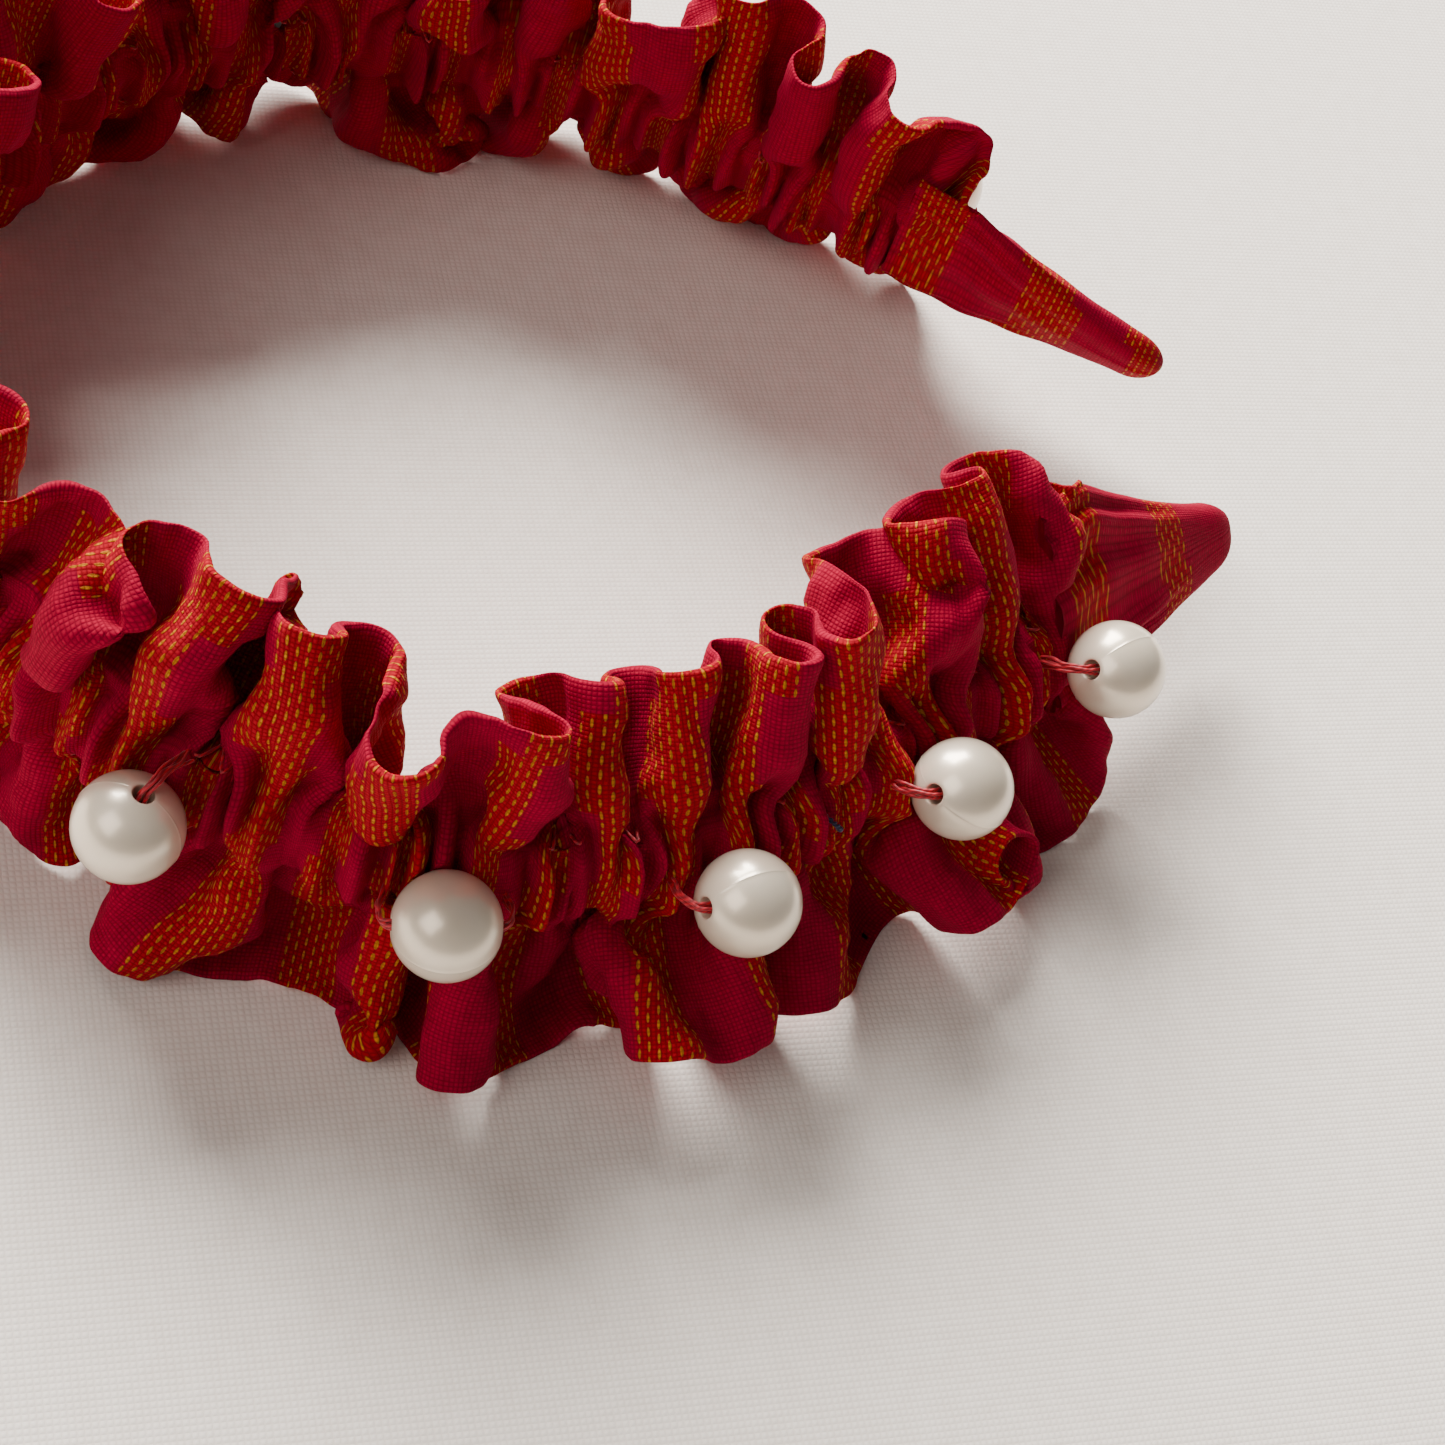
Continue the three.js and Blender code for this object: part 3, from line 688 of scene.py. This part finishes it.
def placed(name, data, right, back, place):
    """An object at a place (metres), with its x axis along `right` and its z axis along `back`."""
    obj = bpy.data.objects.new(name, data)
    bpy.context.scene.collection.objects.link(obj)
    matrix = np.eye(4)
    matrix[:3] = np.stack([right, np.cross(back, right), back, place], axis=1)
    obj.matrix_world = matrix.T.tolist()
    return obj


def place_camera():
    """A camera at CAMERA_PLACE that looks along FORWARD, with RIGHT to its right."""
    data = bpy.data.cameras.new("camera")
    data.sensor_width = 36.0
    data.lens = LENS_FOCAL * data.sensor_width
    data.clip_start, data.clip_end = 0.01, 20.0
    back = unit(-FORWARD)
    right = unit(RIGHT - back * RIGHT.dot(back))
    camera = placed("camera", data, right, back, CAMERA_PLACE * MM)
    bpy.context.scene.camera = camera
    return camera


camera = place_camera()
print("camera at", np.round(CAMERA_PLACE).tolist(), "mm, lens %.1f mm" % camera.data.lens)

# %% [markdown]
# A material is a small network of nodes. One function adds a node, sets its properties and wires
# its inputs: a socket becomes a link, anything else a value. Colours are written as the familiar
# sRGB hex values and turned to the linear ones that the shader works with.

# %% Node helpers


def linear(hex_colour):
    """Linear RGBA from an sRGB hex string."""
    channels = [int(hex_colour[i:i + 2], 16) / 255 for i in (1, 3, 5)]
    return [c / 12.92 if c <= 0.04045 else ((c + 0.055) / 1.055) ** 2.4 for c in channels] + [1.0]


def add(material, kind, inputs=None, output=0, **settings):
    """Adds a node of this kind, applies its settings, fills or links its inputs, and returns one
    of its output sockets."""
    tree = material.node_tree
    node = tree.nodes.new("ShaderNode" + kind)
    for name, value in settings.items():
        setattr(node, name, value)
    for name, value in (inputs or {}).items():
        if isinstance(value, bpy.types.NodeSocket):
            tree.links.new(value, node.inputs[name])
        else:
            node.inputs[name].default_value = value
    return node.outputs[output]


def new_material(name):
    """A material with an empty node tree."""
    material = bpy.data.materials.new(name)
    material.use_nodes = True
    material.node_tree.nodes.clear()
    return material


def finish_surface(material, shader):
    last = material.node_tree.nodes.new("ShaderNodeOutputMaterial")
    material.node_tree.links.new(shader, last.inputs["Surface"])
    return material


def sums(material, operation, a, b=0.0):
    """One sum on two sockets or numbers."""
    return add(material, "Math", {0: a, 1: b}, operation=operation)


def mixed(material, factor, first, second, **settings):
    """A mix of two colours, each a socket or a hex string."""
    first, second = (linear(c) if isinstance(c, str) else c for c in (first, second))
    return add(material, "Mix", {0: factor, 6: first, 7: second}, output=2, data_type="RGBA",
               **settings)


def yarn_crossing(material, u, v, yarn):
    """The product of two sines across a plain weave, one for each set of yarns: it peaks where a
    yarn lies on top and changes sign from one crossing to the next."""
    over_u = sums(material, "SINE", sums(material, "MULTIPLY", u, math.pi / yarn))
    over_v = sums(material, "SINE", sums(material, "MULTIPLY", v, math.pi / yarn))
    return sums(material, "MULTIPLY", over_u, over_v)


# %% Table
TABLE_SIDE = 8000.0             # mm
LINEN_YARN = 0.00062            # metres from thread to thread


def table_top():
    """A large flat plane just under the band, in the finish of pale plain-woven linen, with random
    slub tone and painted shade that darkens the colour between the threads.
    """
    half = TABLE_SIDE / 2
    corners = [(-half, -half, 0), (half, -half, 0), (half, half, 0), (-half, half, 0)]
    obj = new_mesh_object("table", corners, [(0, 1, 2, 3)])
    material = new_material("pale_table")
    place = add(material, "TexCoord", output=3)
    split = add(material, "SeparateXYZ", {0: place})
    cross = yarn_crossing(material, split, split.node.outputs["Y"], LINEN_YARN)
    weave = sums(material, "ABSOLUTE", cross)
    slub = add(material, "TexNoise", {"Vector": place, "Scale": 420.0, "Detail": 3.0})
    height = sums(material, "ADD", weave, sums(material, "MULTIPLY", slub, 1.4))
    # painted shade of the weave with random slub tone: the colour is lighter where the weave is
    # high and darker between the threads
    tone = add(material, "MapRange", {"Value": height, 1: 0.3, 2: 1.6})
    colour = mixed(material, tone, "#EFE5DC", "#FDF6EF")
    bump = add(material, "Bump", {"Strength": 0.35, "Distance": 0.00012, "Height": height})
    shader = add(material, "BsdfPrincipled", {"Base Color": colour, "Roughness": 0.9,
                                              "Normal": bump})
    obj.data.materials.append(finish_surface(material, shader))
    return obj


table_top()

# %% Light
LIT_SPOT = (0, 0, 0.02)
TO_WINDOW = (0.76, 0.18, 0.60)
TO_FILL = (-0.30, 0.79, 0.70)
ROOM_STRENGTH = 0.155


def area_light(name, direction, distance, size, watts, colour):
    """A square light at a distance along a direction from the band's middle, facing it."""
    data = bpy.data.lights.new(name, "AREA")
    data.shape = "SQUARE"
    data.size = size
    data.energy = watts
    data.color = linear(colour)[:3]
    back = unit(direction)
    side = unit(np.cross([0, 0, 1.0], back))
    return placed(name, data, side, back, np.array(LIT_SPOT) + back * distance)


area_light("window", TO_WINDOW, 1.1, 0.68, 51.0, "#FFFAF3")
area_light("fill", TO_FILL, 1.4, 0.9, 7.5, "#FFF4EC")
world = bpy.data.worlds.new("room")
bpy.context.scene.world = world
world.use_nodes = True
background = world.node_tree.nodes["Background"]
background.inputs["Color"].default_value = linear("#F4F1EE")
background.inputs["Strength"].default_value = ROOM_STRENGTH

# %% [markdown]
# ## Handwoven cotton
# The cloth is a plain weave of crimson cotton yarn, about 26 threads to the centimetre, with an
# extra yellow yarn that floats over the ground in short dashes, row by row, inside stripes that
# run round the tube. All of it is drawn on the cloth's flat coordinates, so that it follows every
# fold. The yarns give a fine matt relief, and the colour carries painted light and shade of the
# weave, lighter on the yarn crowns and darker between them. Loose fibres give a soft sheen at
# grazing angles.

# %% The cotton
YARN = 0.39                 # mm from thread to thread
DASH_COLUMN = 0.85          # mm from one column of dashes to the next
DASH_ROW = 1.30             # mm from dash to dash in a column
STRIPE_REPEAT = 14.45       # mm from stripe to stripe, 17 columns
STRIPE_BLOCK = 9.2          # mm along a stripe between its sideways steps
CRIMSON, CRIMSON_DEEP = "#B20036", "#94002A"
STRIPE_GROUND, DASH_GOLD, DASH_OCHRE = "#AE0E18", "#D8901E", "#C06A14"


def woven_cotton(name):
    """Plain-woven crimson cotton with striped columns of golden floats."""
    material = new_material(name)

    def m(operation, a, b=0.0):
        return sums(material, operation, a, b)

    def random_of(value):
        return add(material, "TexWhiteNoise", {"W": value}, noise_dimensions="1D")

    split = add(material, "SeparateXYZ", {0: add(material, "UVMap", uv_map="cloth")})
    u = m("MULTIPLY", split, 1000.0)
    v = m("MULTIPLY", split.node.outputs["Y"], 1000.0)

    cross = yarn_crossing(material, u, v, YARN)
    crowns = m("POWER", m("ABSOLUTE", cross), 0.6)
    weave = m("ADD", m("MULTIPLY", crowns, 0.85), m("MULTIPLY", cross, 0.15))

    block = m("FLOOR", m("DIVIDE", v, STRIPE_BLOCK))
    step = m("MULTIPLY", m("FLOOR", m("MULTIPLY", random_of(block), 3.99)), DASH_COLUMN)
    shifted = m("ADD", u, step)
    repeat = m("FLOOR", m("DIVIDE", shifted, STRIPE_REPEAT))
    place = m("SUBTRACT", shifted, m("MULTIPLY", repeat, STRIPE_REPEAT))
    more = m("FLOOR", m("MULTIPLY", random_of(repeat), 3.99))
    width = m("MULTIPLY", m("ADD", more, 6.0), DASH_COLUMN)
    stripe = m("LESS_THAN", place, width)
    from_edge = m("MINIMUM", place, m("SUBTRACT", width, place))
    tint = add(material, "MapRange", {"Value": from_edge, 1: -0.2, 2: 0.9, 3: 0.0, 4: 0.72})

    column = m("FLOOR", m("DIVIDE", shifted, DASH_COLUMN))
    across = m("ABSOLUTE", m("SUBTRACT", m("FRACT", m("DIVIDE", shifted, DASH_COLUMN)), 0.5))
    offset = m("MULTIPLY", m("MODULO", column, 2.0), 0.5)
    run = m("FRACT", m("ADD", m("DIVIDE", v, DASH_ROW), offset))
    along = m("ABSOLUTE", m("SUBTRACT", run, 0.5))
    oval = m("ADD", m("POWER", m("DIVIDE", across, 0.165), 2.0),
             m("POWER", m("DIVIDE", along, 0.37), 2.0))
    spot = add(material, "MapRange", {"Value": oval, 1: 0.55, 2: 1.0, 3: 1.0, 4: 0.0})
    dash = m("MULTIPLY", spot, stripe)

    stretched = add(material, "CombineXYZ", {0: m("MULTIPLY", u, 0.3), 1: m("MULTIPLY", v, 2.6)})
    slub_u = add(material, "TexNoise", {"Vector": stretched, "Scale": 1.0, "Detail": 2.0})
    upright = add(material, "CombineXYZ", {0: m("MULTIPLY", u, 2.4), 1: m("MULTIPLY", v, 0.25)})
    slub_v = add(material, "TexNoise", {"Vector": upright, "Scale": 1.0, "Detail": 2.0})
    slub = m("MULTIPLY", m("ADD", slub_u, slub_v), 0.5)
    yarn_tone = add(material, "MapRange", {"Value": slub, 1: 0.30, 2: 0.70})

    ground = mixed(material, yarn_tone, CRIMSON_DEEP, CRIMSON)
    striped = mixed(material, tint, ground, STRIPE_GROUND)
    gold = mixed(material, yarn_tone, DASH_OCHRE, DASH_GOLD)
    # painted light and shade of the weave: the colour is multiplied lighter on the yarn crowns and
    # darker between the yarns
    painted_weave_shade = add(material, "MapRange", {"Value": weave, 3: 0.52, 4: 1.16})
    colour = mixed(material, 1.0, mixed(material, dash, striped, gold), painted_weave_shade,
                   blend_type="MULTIPLY")

    relief = m("ADD", m("MULTIPLY", weave, 0.55), m("MULTIPLY", dash, 0.8))
    relief = m("ADD", relief, m("MULTIPLY", slub, 0.5))
    bump = add(material, "Bump", {"Strength": 0.9, "Distance": 0.00013, "Height": relief})
    rough = add(material, "MapRange", {"Value": dash, 3: 0.86, 4: 0.62})
    shader = add(material, "BsdfPrincipled", {
        "Base Color": colour, "Roughness": rough, "Normal": bump,
        "Sheen Weight": 0.04, "Sheen Roughness": 0.5, "Sheen Tint": linear("#FF5078"),
        "Specular IOR Level": 0.09,
    })
    return finish_surface(material, shader)


cotton = woven_cotton("handwoven_cotton")
print("cotton:", len(cotton.node_tree.nodes), "nodes")

# %% [markdown]
# ## Tip covers
# Beyond the sleeve each end of the core is wrapped in the same cloth, flat and smooth, tapering to
# a rounded end. The section is a rounded oblong, and its size is a function of the distance from
# the end. Where the cover comes out of the gathers it keeps a few soft pleats that fade away, and
# the overlap of the wrap shows as a low step along the inner side.

# %% The covers
COVER_TIP_HALF = 3.5            # half height near the end
COVER_HALF_THICK = 2.6
COVER_FROM = 151.0              # where the cover starts, inside the sleeve
END_ROUND = 4.0                 # length of the rounded end
CORNER_POWER = 0.72             # of the section: 1 is an ellipse, and less is more oblong
AROUND_SCALE = 5.2              # mm of cloth for each radian round the cover


def cover_surface(side, seed):
    """A closed tube (stations, ring), and its reach and angle. Half height and half thickness fall
    slowly towards the end and close there like a quarter of an ellipse; the upper part thins out
    to a fin, and the pleats are waves round the ring."""
    straight = HALF_LENGTH - 0.3 - COVER_FROM - END_ROUND
    t = np.concatenate([np.linspace(0, 1, 70)[:-1] * straight,
                        straight + END_ROUND * np.sin(np.linspace(0, np.pi / 2, 22))])[:, None]
    reach = COVER_FROM + t
    angle = np.linspace(0, 2 * np.pi, 72, endpoint=False)[None, :]
    end = np.sqrt(np.clip(1 - np.clip((t - straight) / END_ROUND, 0, 1) ** 2, 0.0004, 1))
    left_over = 1 - np.clip((reach - 158.5) / 25.0, 0, 1)
    above = COVER_TIP_HALF + (COVER_UPPER - COVER_TIP_HALF) * left_over**1.25
    below = COVER_TIP_HALF + (COVER_LOWER - COVER_TIP_HALF) * left_over
    thick = (COVER_HALF_THICK - 0.5 * smoothstep(reach, 160, 184)) * end
    up = np.sign(np.sin(angle)) * np.abs(np.sin(angle)) ** CORNER_POWER
    out = np.sign(np.cos(angle)) * np.abs(np.cos(angle)) ** CORNER_POWER
    pleats = 0.7 * np.sin(7 * angle + 0.05 * reach + seed)
    pleats = pleats + 0.9 * np.sin(13 * angle - 0.06 * reach + 2 * seed)
    fade = 1 - smoothstep(reach, 157, 178)
    crease = 0.10 * np.sin(0.9 * reach + 2.2 * np.sin(angle + seed))
    swell = (0.62 * fade * pleats + crease * (0.4 + fade)) * (1 - 0.75 * np.abs(up) ** 8)
    lap = 0.28 * smoothstep(np.cos(angle - np.pi - 0.35), 0.80, 0.86)
    grow = (swell + lap) * end
    height = (np.where(up > 0, above, below) * end + grow) * up
    fin = 1 - 0.55 * smoothstep(height, 5.0, 15.0)
    rings = band_point(side * reach, (thick * fin + grow) * out, height)
    rings[..., 2] = np.maximum(rings[..., 2], TABLE_GAP)
    return rings, reach, angle


def cover_uv(obj, table):
    """Cloth coordinates for each corner of each face, from a table with one row for each vertex.
    A face that closes the ring gets its low corners moved a full turn on."""
    loops = np.empty(len(obj.data.loops), dtype=np.int32)
    starts = np.empty(len(obj.data.polygons), dtype=np.int32)
    totals = np.empty(len(obj.data.polygons), dtype=np.int32)
    obj.data.loops.foreach_get("vertex_index", loops)
    obj.data.polygons.foreach_get("loop_start", starts)
    obj.data.polygons.foreach_get("loop_total", totals)
    uv = table[loops]
    full_turn = 2 * np.pi * AROUND_SCALE
    highest = np.repeat(np.maximum.reduceat(uv[:, 1], starts), totals)
    uv[:, 1] += (highest - uv[:, 1] > full_turn / 2) * full_turn
    give_uv(obj, uv * MM)


def tip_cover(name, side, seed):
    rings, reach, angle = cover_surface(side, seed)
    along = CLOTH[-1] / 2 + side * (CLOTH[-1] / 2 + reach - SLEEVE_END)
    table = np.stack(np.broadcast_arrays(along, angle * AROUND_SCALE), -1)
    if side < 0:
        rings, table = rings[::-1], table[::-1]
    obj = solid_object(name, [rings])
    ends = [[table[0].mean(axis=0)], [table[-1].mean(axis=0)]]
    cover_uv(obj, np.concatenate([table.reshape(-1, 2), *ends]))
    obj.data.materials.append(cotton)
    return obj


cover_left = tip_cover("wrapped_tip_left", -1, 0.7)
cover_right = tip_cover("wrapped_tip_right", 1, 2.9)
print("tip cover faces:", len(cover_left.data.polygons))

# %% [markdown]
# ## Pearl beads
# Each bead is moulded plastic dipped in pearl essence: a warm ivory body under a thin lacquer with
# fine mica, which gives two highlights, a broad soft one from the mica and a small sharp one from
# the lacquer. A bead is its profile turned about the bore, and a low ridge, where the two halves
# of the mould met, runs from one mouth of the bore to the other on both sides.

# %% Pearl
def pearl_lacquer():
    material = new_material("pearl_lacquered_bead")
    place = add(material, "TexCoord", output=3)
    broad = add(material, "TexNoise", {"Vector": place, "Scale": 260.0, "Detail": 2.0})
    tone = mixed(material, broad, "#F6E4CA", "#FFF4E2")
    fine = add(material, "TexNoise", {"Vector": place, "Scale": 5200.0, "Detail": 3.0})
    pits = add(material, "TexNoise", {"Vector": place, "Scale": 900.0, "Detail": 4.0})
    pitted = add(material, "MapRange", {"Value": pits, 1: 0.30, 2: 0.36})
    height = sums(material, "ADD", sums(material, "MULTIPLY", fine, 0.12), pitted)
    bump = add(material, "Bump", {"Strength": 0.12, "Distance": 0.00002, "Height": height})
    rough = add(material, "MapRange", {"Value": broad, 3: 0.26, 4: 0.36})
    shader = add(material, "BsdfPrincipled", {
        "Base Color": tone, "Metallic": 0.34, "Roughness": rough, "Normal": bump,
        "Coat Weight": 0.65, "Coat Roughness": 0.06, "Coat IOR": 1.5,
    })
    return finish_surface(material, shader)


BORE_RADIUS = 1.0
pearl = pearl_lacquer()
spin = {joint["name"]: joint for joint in frame["joints"]}


def bead_frame(number):
    """Centre (mm), bore direction, and the two directions square to it, the last one pointing
    away from the band as nearly as it can."""
    centre = bead_centres()[number - 1]
    bore = unit(spin["bead_%02d_spin" % number]["axis"])
    station = (number - MIDDLE_BEAD) * BEAD_PITCH
    outward = unit(band_point(station, 1.0, 0.0) - band_point(station, 0.0, 0.0))
    third = unit(outward - bore * outward.dot(bore))
    return centre, bore, np.cross(third, bore), third


def pearl_bead(number):
    """The profile (distance along the bore, radius) is the sphere from mouth to mouth, a small
    rounded lip, and back through the bore. Angles crowd together at the two mould ridges."""
    lip = 0.16
    mouth = math.asin((BORE_RADIUS + lip) / BEAD_RADIUS)
    arc = np.linspace(mouth, np.pi - mouth, 40)
    sphere = np.stack([BEAD_RADIUS * np.cos(arc), BEAD_RADIUS * np.sin(arc)], -1)
    x = sphere[0, 0]
    turn = np.linspace(0.35, 1.45, 4)
    rim = np.stack([x - 0.10 + 0.10 * np.cos(turn), BORE_RADIUS + lip * (1 - np.sin(turn))], -1)
    bore = np.stack([np.linspace(-x + 0.3, x - 0.3, 4), np.full(4, BORE_RADIUS)], -1)
    profile = np.concatenate([sphere, rim * [-1, 1], bore, rim[::-1]])
    ridge = np.radians([-1.6, -0.8, 0, 0.8, 1.6])
    seam = 0.9 + 1.7 * number
    angle = np.concatenate([np.linspace(0, 2 * np.pi, 72, endpoint=False), ridge, ridge + np.pi])
    angle = np.unique(np.round(angle % (2 * np.pi), 6))
    off = np.abs((angle + np.pi / 2) % np.pi - np.pi / 2)
    raised = 0.045 * np.clip(1 - off / math.radians(1.3), 0, 1)
    outer = np.arange(len(profile)) < len(sphere)
    radius = profile[:, None, 1] + raised[None, :] * outer[:, None]
    centre, a, b, c = bead_frame(number)
    cos, sin = np.cos(angle + seam)[None, :, None], np.sin(angle + seam)[None, :, None]
    points = centre + profile[:, None, :1] * a + radius[..., None] * (cos * b + sin * c)
    faces = grid_faces(len(profile), len(angle), close_rows=True, close_columns=True).tolist()
    obj = new_mesh_object("pearl_bead_%02d" % number, points, faces)
    obj.data.materials.append(pearl)
    return obj


beads = [pearl_bead(number) for number in BEADS]
print("beads:", len(beads), "with", len(beads[0].data.polygons), "faces each")

# %% [markdown]
# ## Threads
# A bead is sewn on with a few strands of red sewing thread that come up out of the gathers, pass
# through the bore and go down on its other side. The thread is spun and mercerised, so it is
# smoother and shinier than the cloth. Each strand is a thin tube along its own path.

# %% Thread
def spun_thread(name, light, dark):
    """Two-ply sewing thread: fine oblique ridges of twist, with painted light and shade that makes
    the colour lighter on the ridges and darker in the grooves, and a slight gloss.
    """
    material = new_material(name)
    place = add(material, "TexCoord", output=3)
    twist = add(material, "TexWave", {"Vector": place, "Scale": 900.0, "Distortion": 2.0},
                wave_type="BANDS", bands_direction="DIAGONAL")
    twist_value = twist.node.outputs["Fac"]
    # painted light and shade of the twist: the colour is light on the ridges and dark in the
    # grooves
    colour = mixed(material, twist_value, dark, light)
    bump = add(material, "Bump", {"Strength": 0.5, "Distance": 0.00003, "Height": twist_value})
    shader = add(material, "BsdfPrincipled", {
        "Base Color": colour, "Roughness": 0.48, "Normal": bump, "Sheen Weight": 0.15,
    })
    return finish_surface(material, shader)


red_thread = spun_thread("red_sewing_thread", "#D0142C", "#8E0A1E")
navy_thread = spun_thread("navy_sewing_thread", "#2A3360", "#141A38")
STRANDS = 4                     # through each bead
STRAND_RADIUS = 0.17
TACK_RADIUS = 0.14
TACK_STATION = -115.0


def strand_path(strand, seed):
    """One strand's path in the bead's own frame (along the bore, sideways, outwards): level
    through the bore, over each lip, and down beside the bead, a little apart from the others."""
    random = np.random.RandomState(seed)
    turn = strand * 2 * np.pi / STRANDS + 0.4
    within = 0.42 * np.array([np.cos(turn), np.sin(turn)])
    half = np.array([[2.2, 0.0, 0.0], [4.4, 0.0, 0.0], [5.25, 0.1, -0.35], [5.75, 0.25, -1.3],
                     [5.85, 0.45, -2.7], [5.45, 0.7, -4.2], [4.9, 0.9, -6.2]])
    spread = np.array([1.0, 1.0, 0.8, 0.8, 0.9, 1.1, 1.3])[:, None]
    right, left = half.copy(), half.copy() * [-1, 1, 1]
    for one in (right, left):
        one[:, 1:] += within * spread
        one[2:, 1] += random.normal(0, 0.10, 5) * np.array([0.3, 0.6, 1, 1.5, 2])
        one[2:, 0] += np.sign(one[0, 0]) * np.abs(random.normal(0, 0.10, 5))
    corners = np.concatenate([left[::-1], [[0, *within]], right])
    return along_axis(corners, np.linspace(0, len(corners) - 1, 85), 0)


def bead_thread(number):
    centre, a, b, c = bead_frame(number)
    strands = []
    for strand in range(STRANDS):
        local = strand_path(strand, 100 * number + strand)
        path = centre + local @ np.stack([a, b, c])
        strands.append(tube_rings(path, STRAND_RADIUS, 8))
    obj = solid_object("bead_thread_%02d" % number, strands)
    obj.data.materials.append(red_thread)
    return obj


threads = [bead_thread(number) for number in BEADS]


def tacking_thread():
    """A stray end of navy tacking thread: two plies twisted round a low arch."""
    low, high = (np.array(corner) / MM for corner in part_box("tacking_stitch"))
    middle = (low + high) / 2
    run = unit(band_point(TACK_STATION + 1, 3.0, 1.4) - band_point(TACK_STATION - 1, 3.0, -1.4))
    out = unit(band_point(TACK_STATION, 1.0, 0.0) - band_point(TACK_STATION, 0.0, 0.0))
    side = np.cross(run, out)
    t = np.linspace(-1, 1, 60)[:, None]
    arch = middle + run * t * 1.6 + out * (0.55 - 1.5 * t**2)
    plies = []
    for phase in (0, np.pi):
        turn = 14 * t + phase
        ply = arch + 0.13 * (np.cos(turn) * side + np.sin(turn) * out)
        plies.append(tube_rings(ply, TACK_RADIUS, 8))
    obj = solid_object("tacking_thread", plies)
    obj.data.materials.append(navy_thread)
    return obj


tacking = tacking_thread()
print("threads:", len(threads), "bundles of 4 strands, and one tacking stitch")

# %% [markdown]
# ## The core
# The core is a strip of moulded plastic, hidden in the cloth. It keeps its CAD shape and gets the
# milky look of natural polypropylene, with faint flow marks along it.

# %% Core
def moulded_plastic():
    material = new_material("moulded_polypropylene")
    place = add(material, "TexCoord", output=3)
    flow = add(material, "TexNoise", {"Vector": place, "Scale": 140.0, "Detail": 4.0,
                                      "Distortion": 0.6})
    colour = mixed(material, flow, "#E8E4DA", "#F4F1EA")
    bump = add(material, "Bump", {"Strength": 0.15, "Distance": 0.00005, "Height": flow})
    shader = add(material, "BsdfPrincipled", {
        "Base Color": colour, "Roughness": 0.42, "Normal": bump, "Subsurface Weight": 0.1,
    })
    return finish_surface(material, shader)


plastic = moulded_plastic()
for name in ("hoop_core_left", "hoop_core_crown", "hoop_core_right"):
    core = frame["nodes"][name]
    core.data.materials.clear()
    core.data.materials.append(plastic)

# %% [markdown]
# ## What rides on what
# The two halves of the sleeve, split at the crown's middle, and their gathering threads stay in
# place; everything else rides on one body.

# %% Bodies
sleeve_left.data.materials.append(cotton)
sleeve_right.data.materials.append(cotton)
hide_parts("ruched_sleeve_left", "ruched_sleeve_crown")
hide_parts("ruched_sleeve_right")
rows = ("gathering_thread_upper_", "gathering_thread_lower_")
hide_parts(*[row + part for row in rows for part in ("left", "crown")])
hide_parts(*[row + "right" for row in rows])
for sleeve, side, arm in ((sleeve_left, -1, "left_arm"), (sleeve_right, 1, "right_arm")):
    before = band_point(side * (FLEX_PLACE - 5.0), 0.0, 0.0) * MM
    after = band_point(side * (FLEX_PLACE + 5.0), 0.0, 0.0) * MM
    gather = gather_left if side < 0 else gather_right
    gather.data.materials.append(red_thread)
    for piece in (sleeve, gather):
        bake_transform(piece)

for cover, side in ((cover_left, "left"), (cover_right, "right")):
    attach(cover, side + "_arm")
    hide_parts("tip_cover_" + side)

for number, bead, thread in zip(BEADS, beads, threads):
    arm = "left_arm" if number < MIDDLE_BEAD else "right_arm"
    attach(bead, "bead_%02d" % number)
    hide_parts("pearl_%02d" % number)
    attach(thread, "crown" if number == MIDDLE_BEAD else arm)
    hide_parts("pearl_thread_%02d" % number)
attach(tacking, "left_arm")
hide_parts("tacking_stitch")
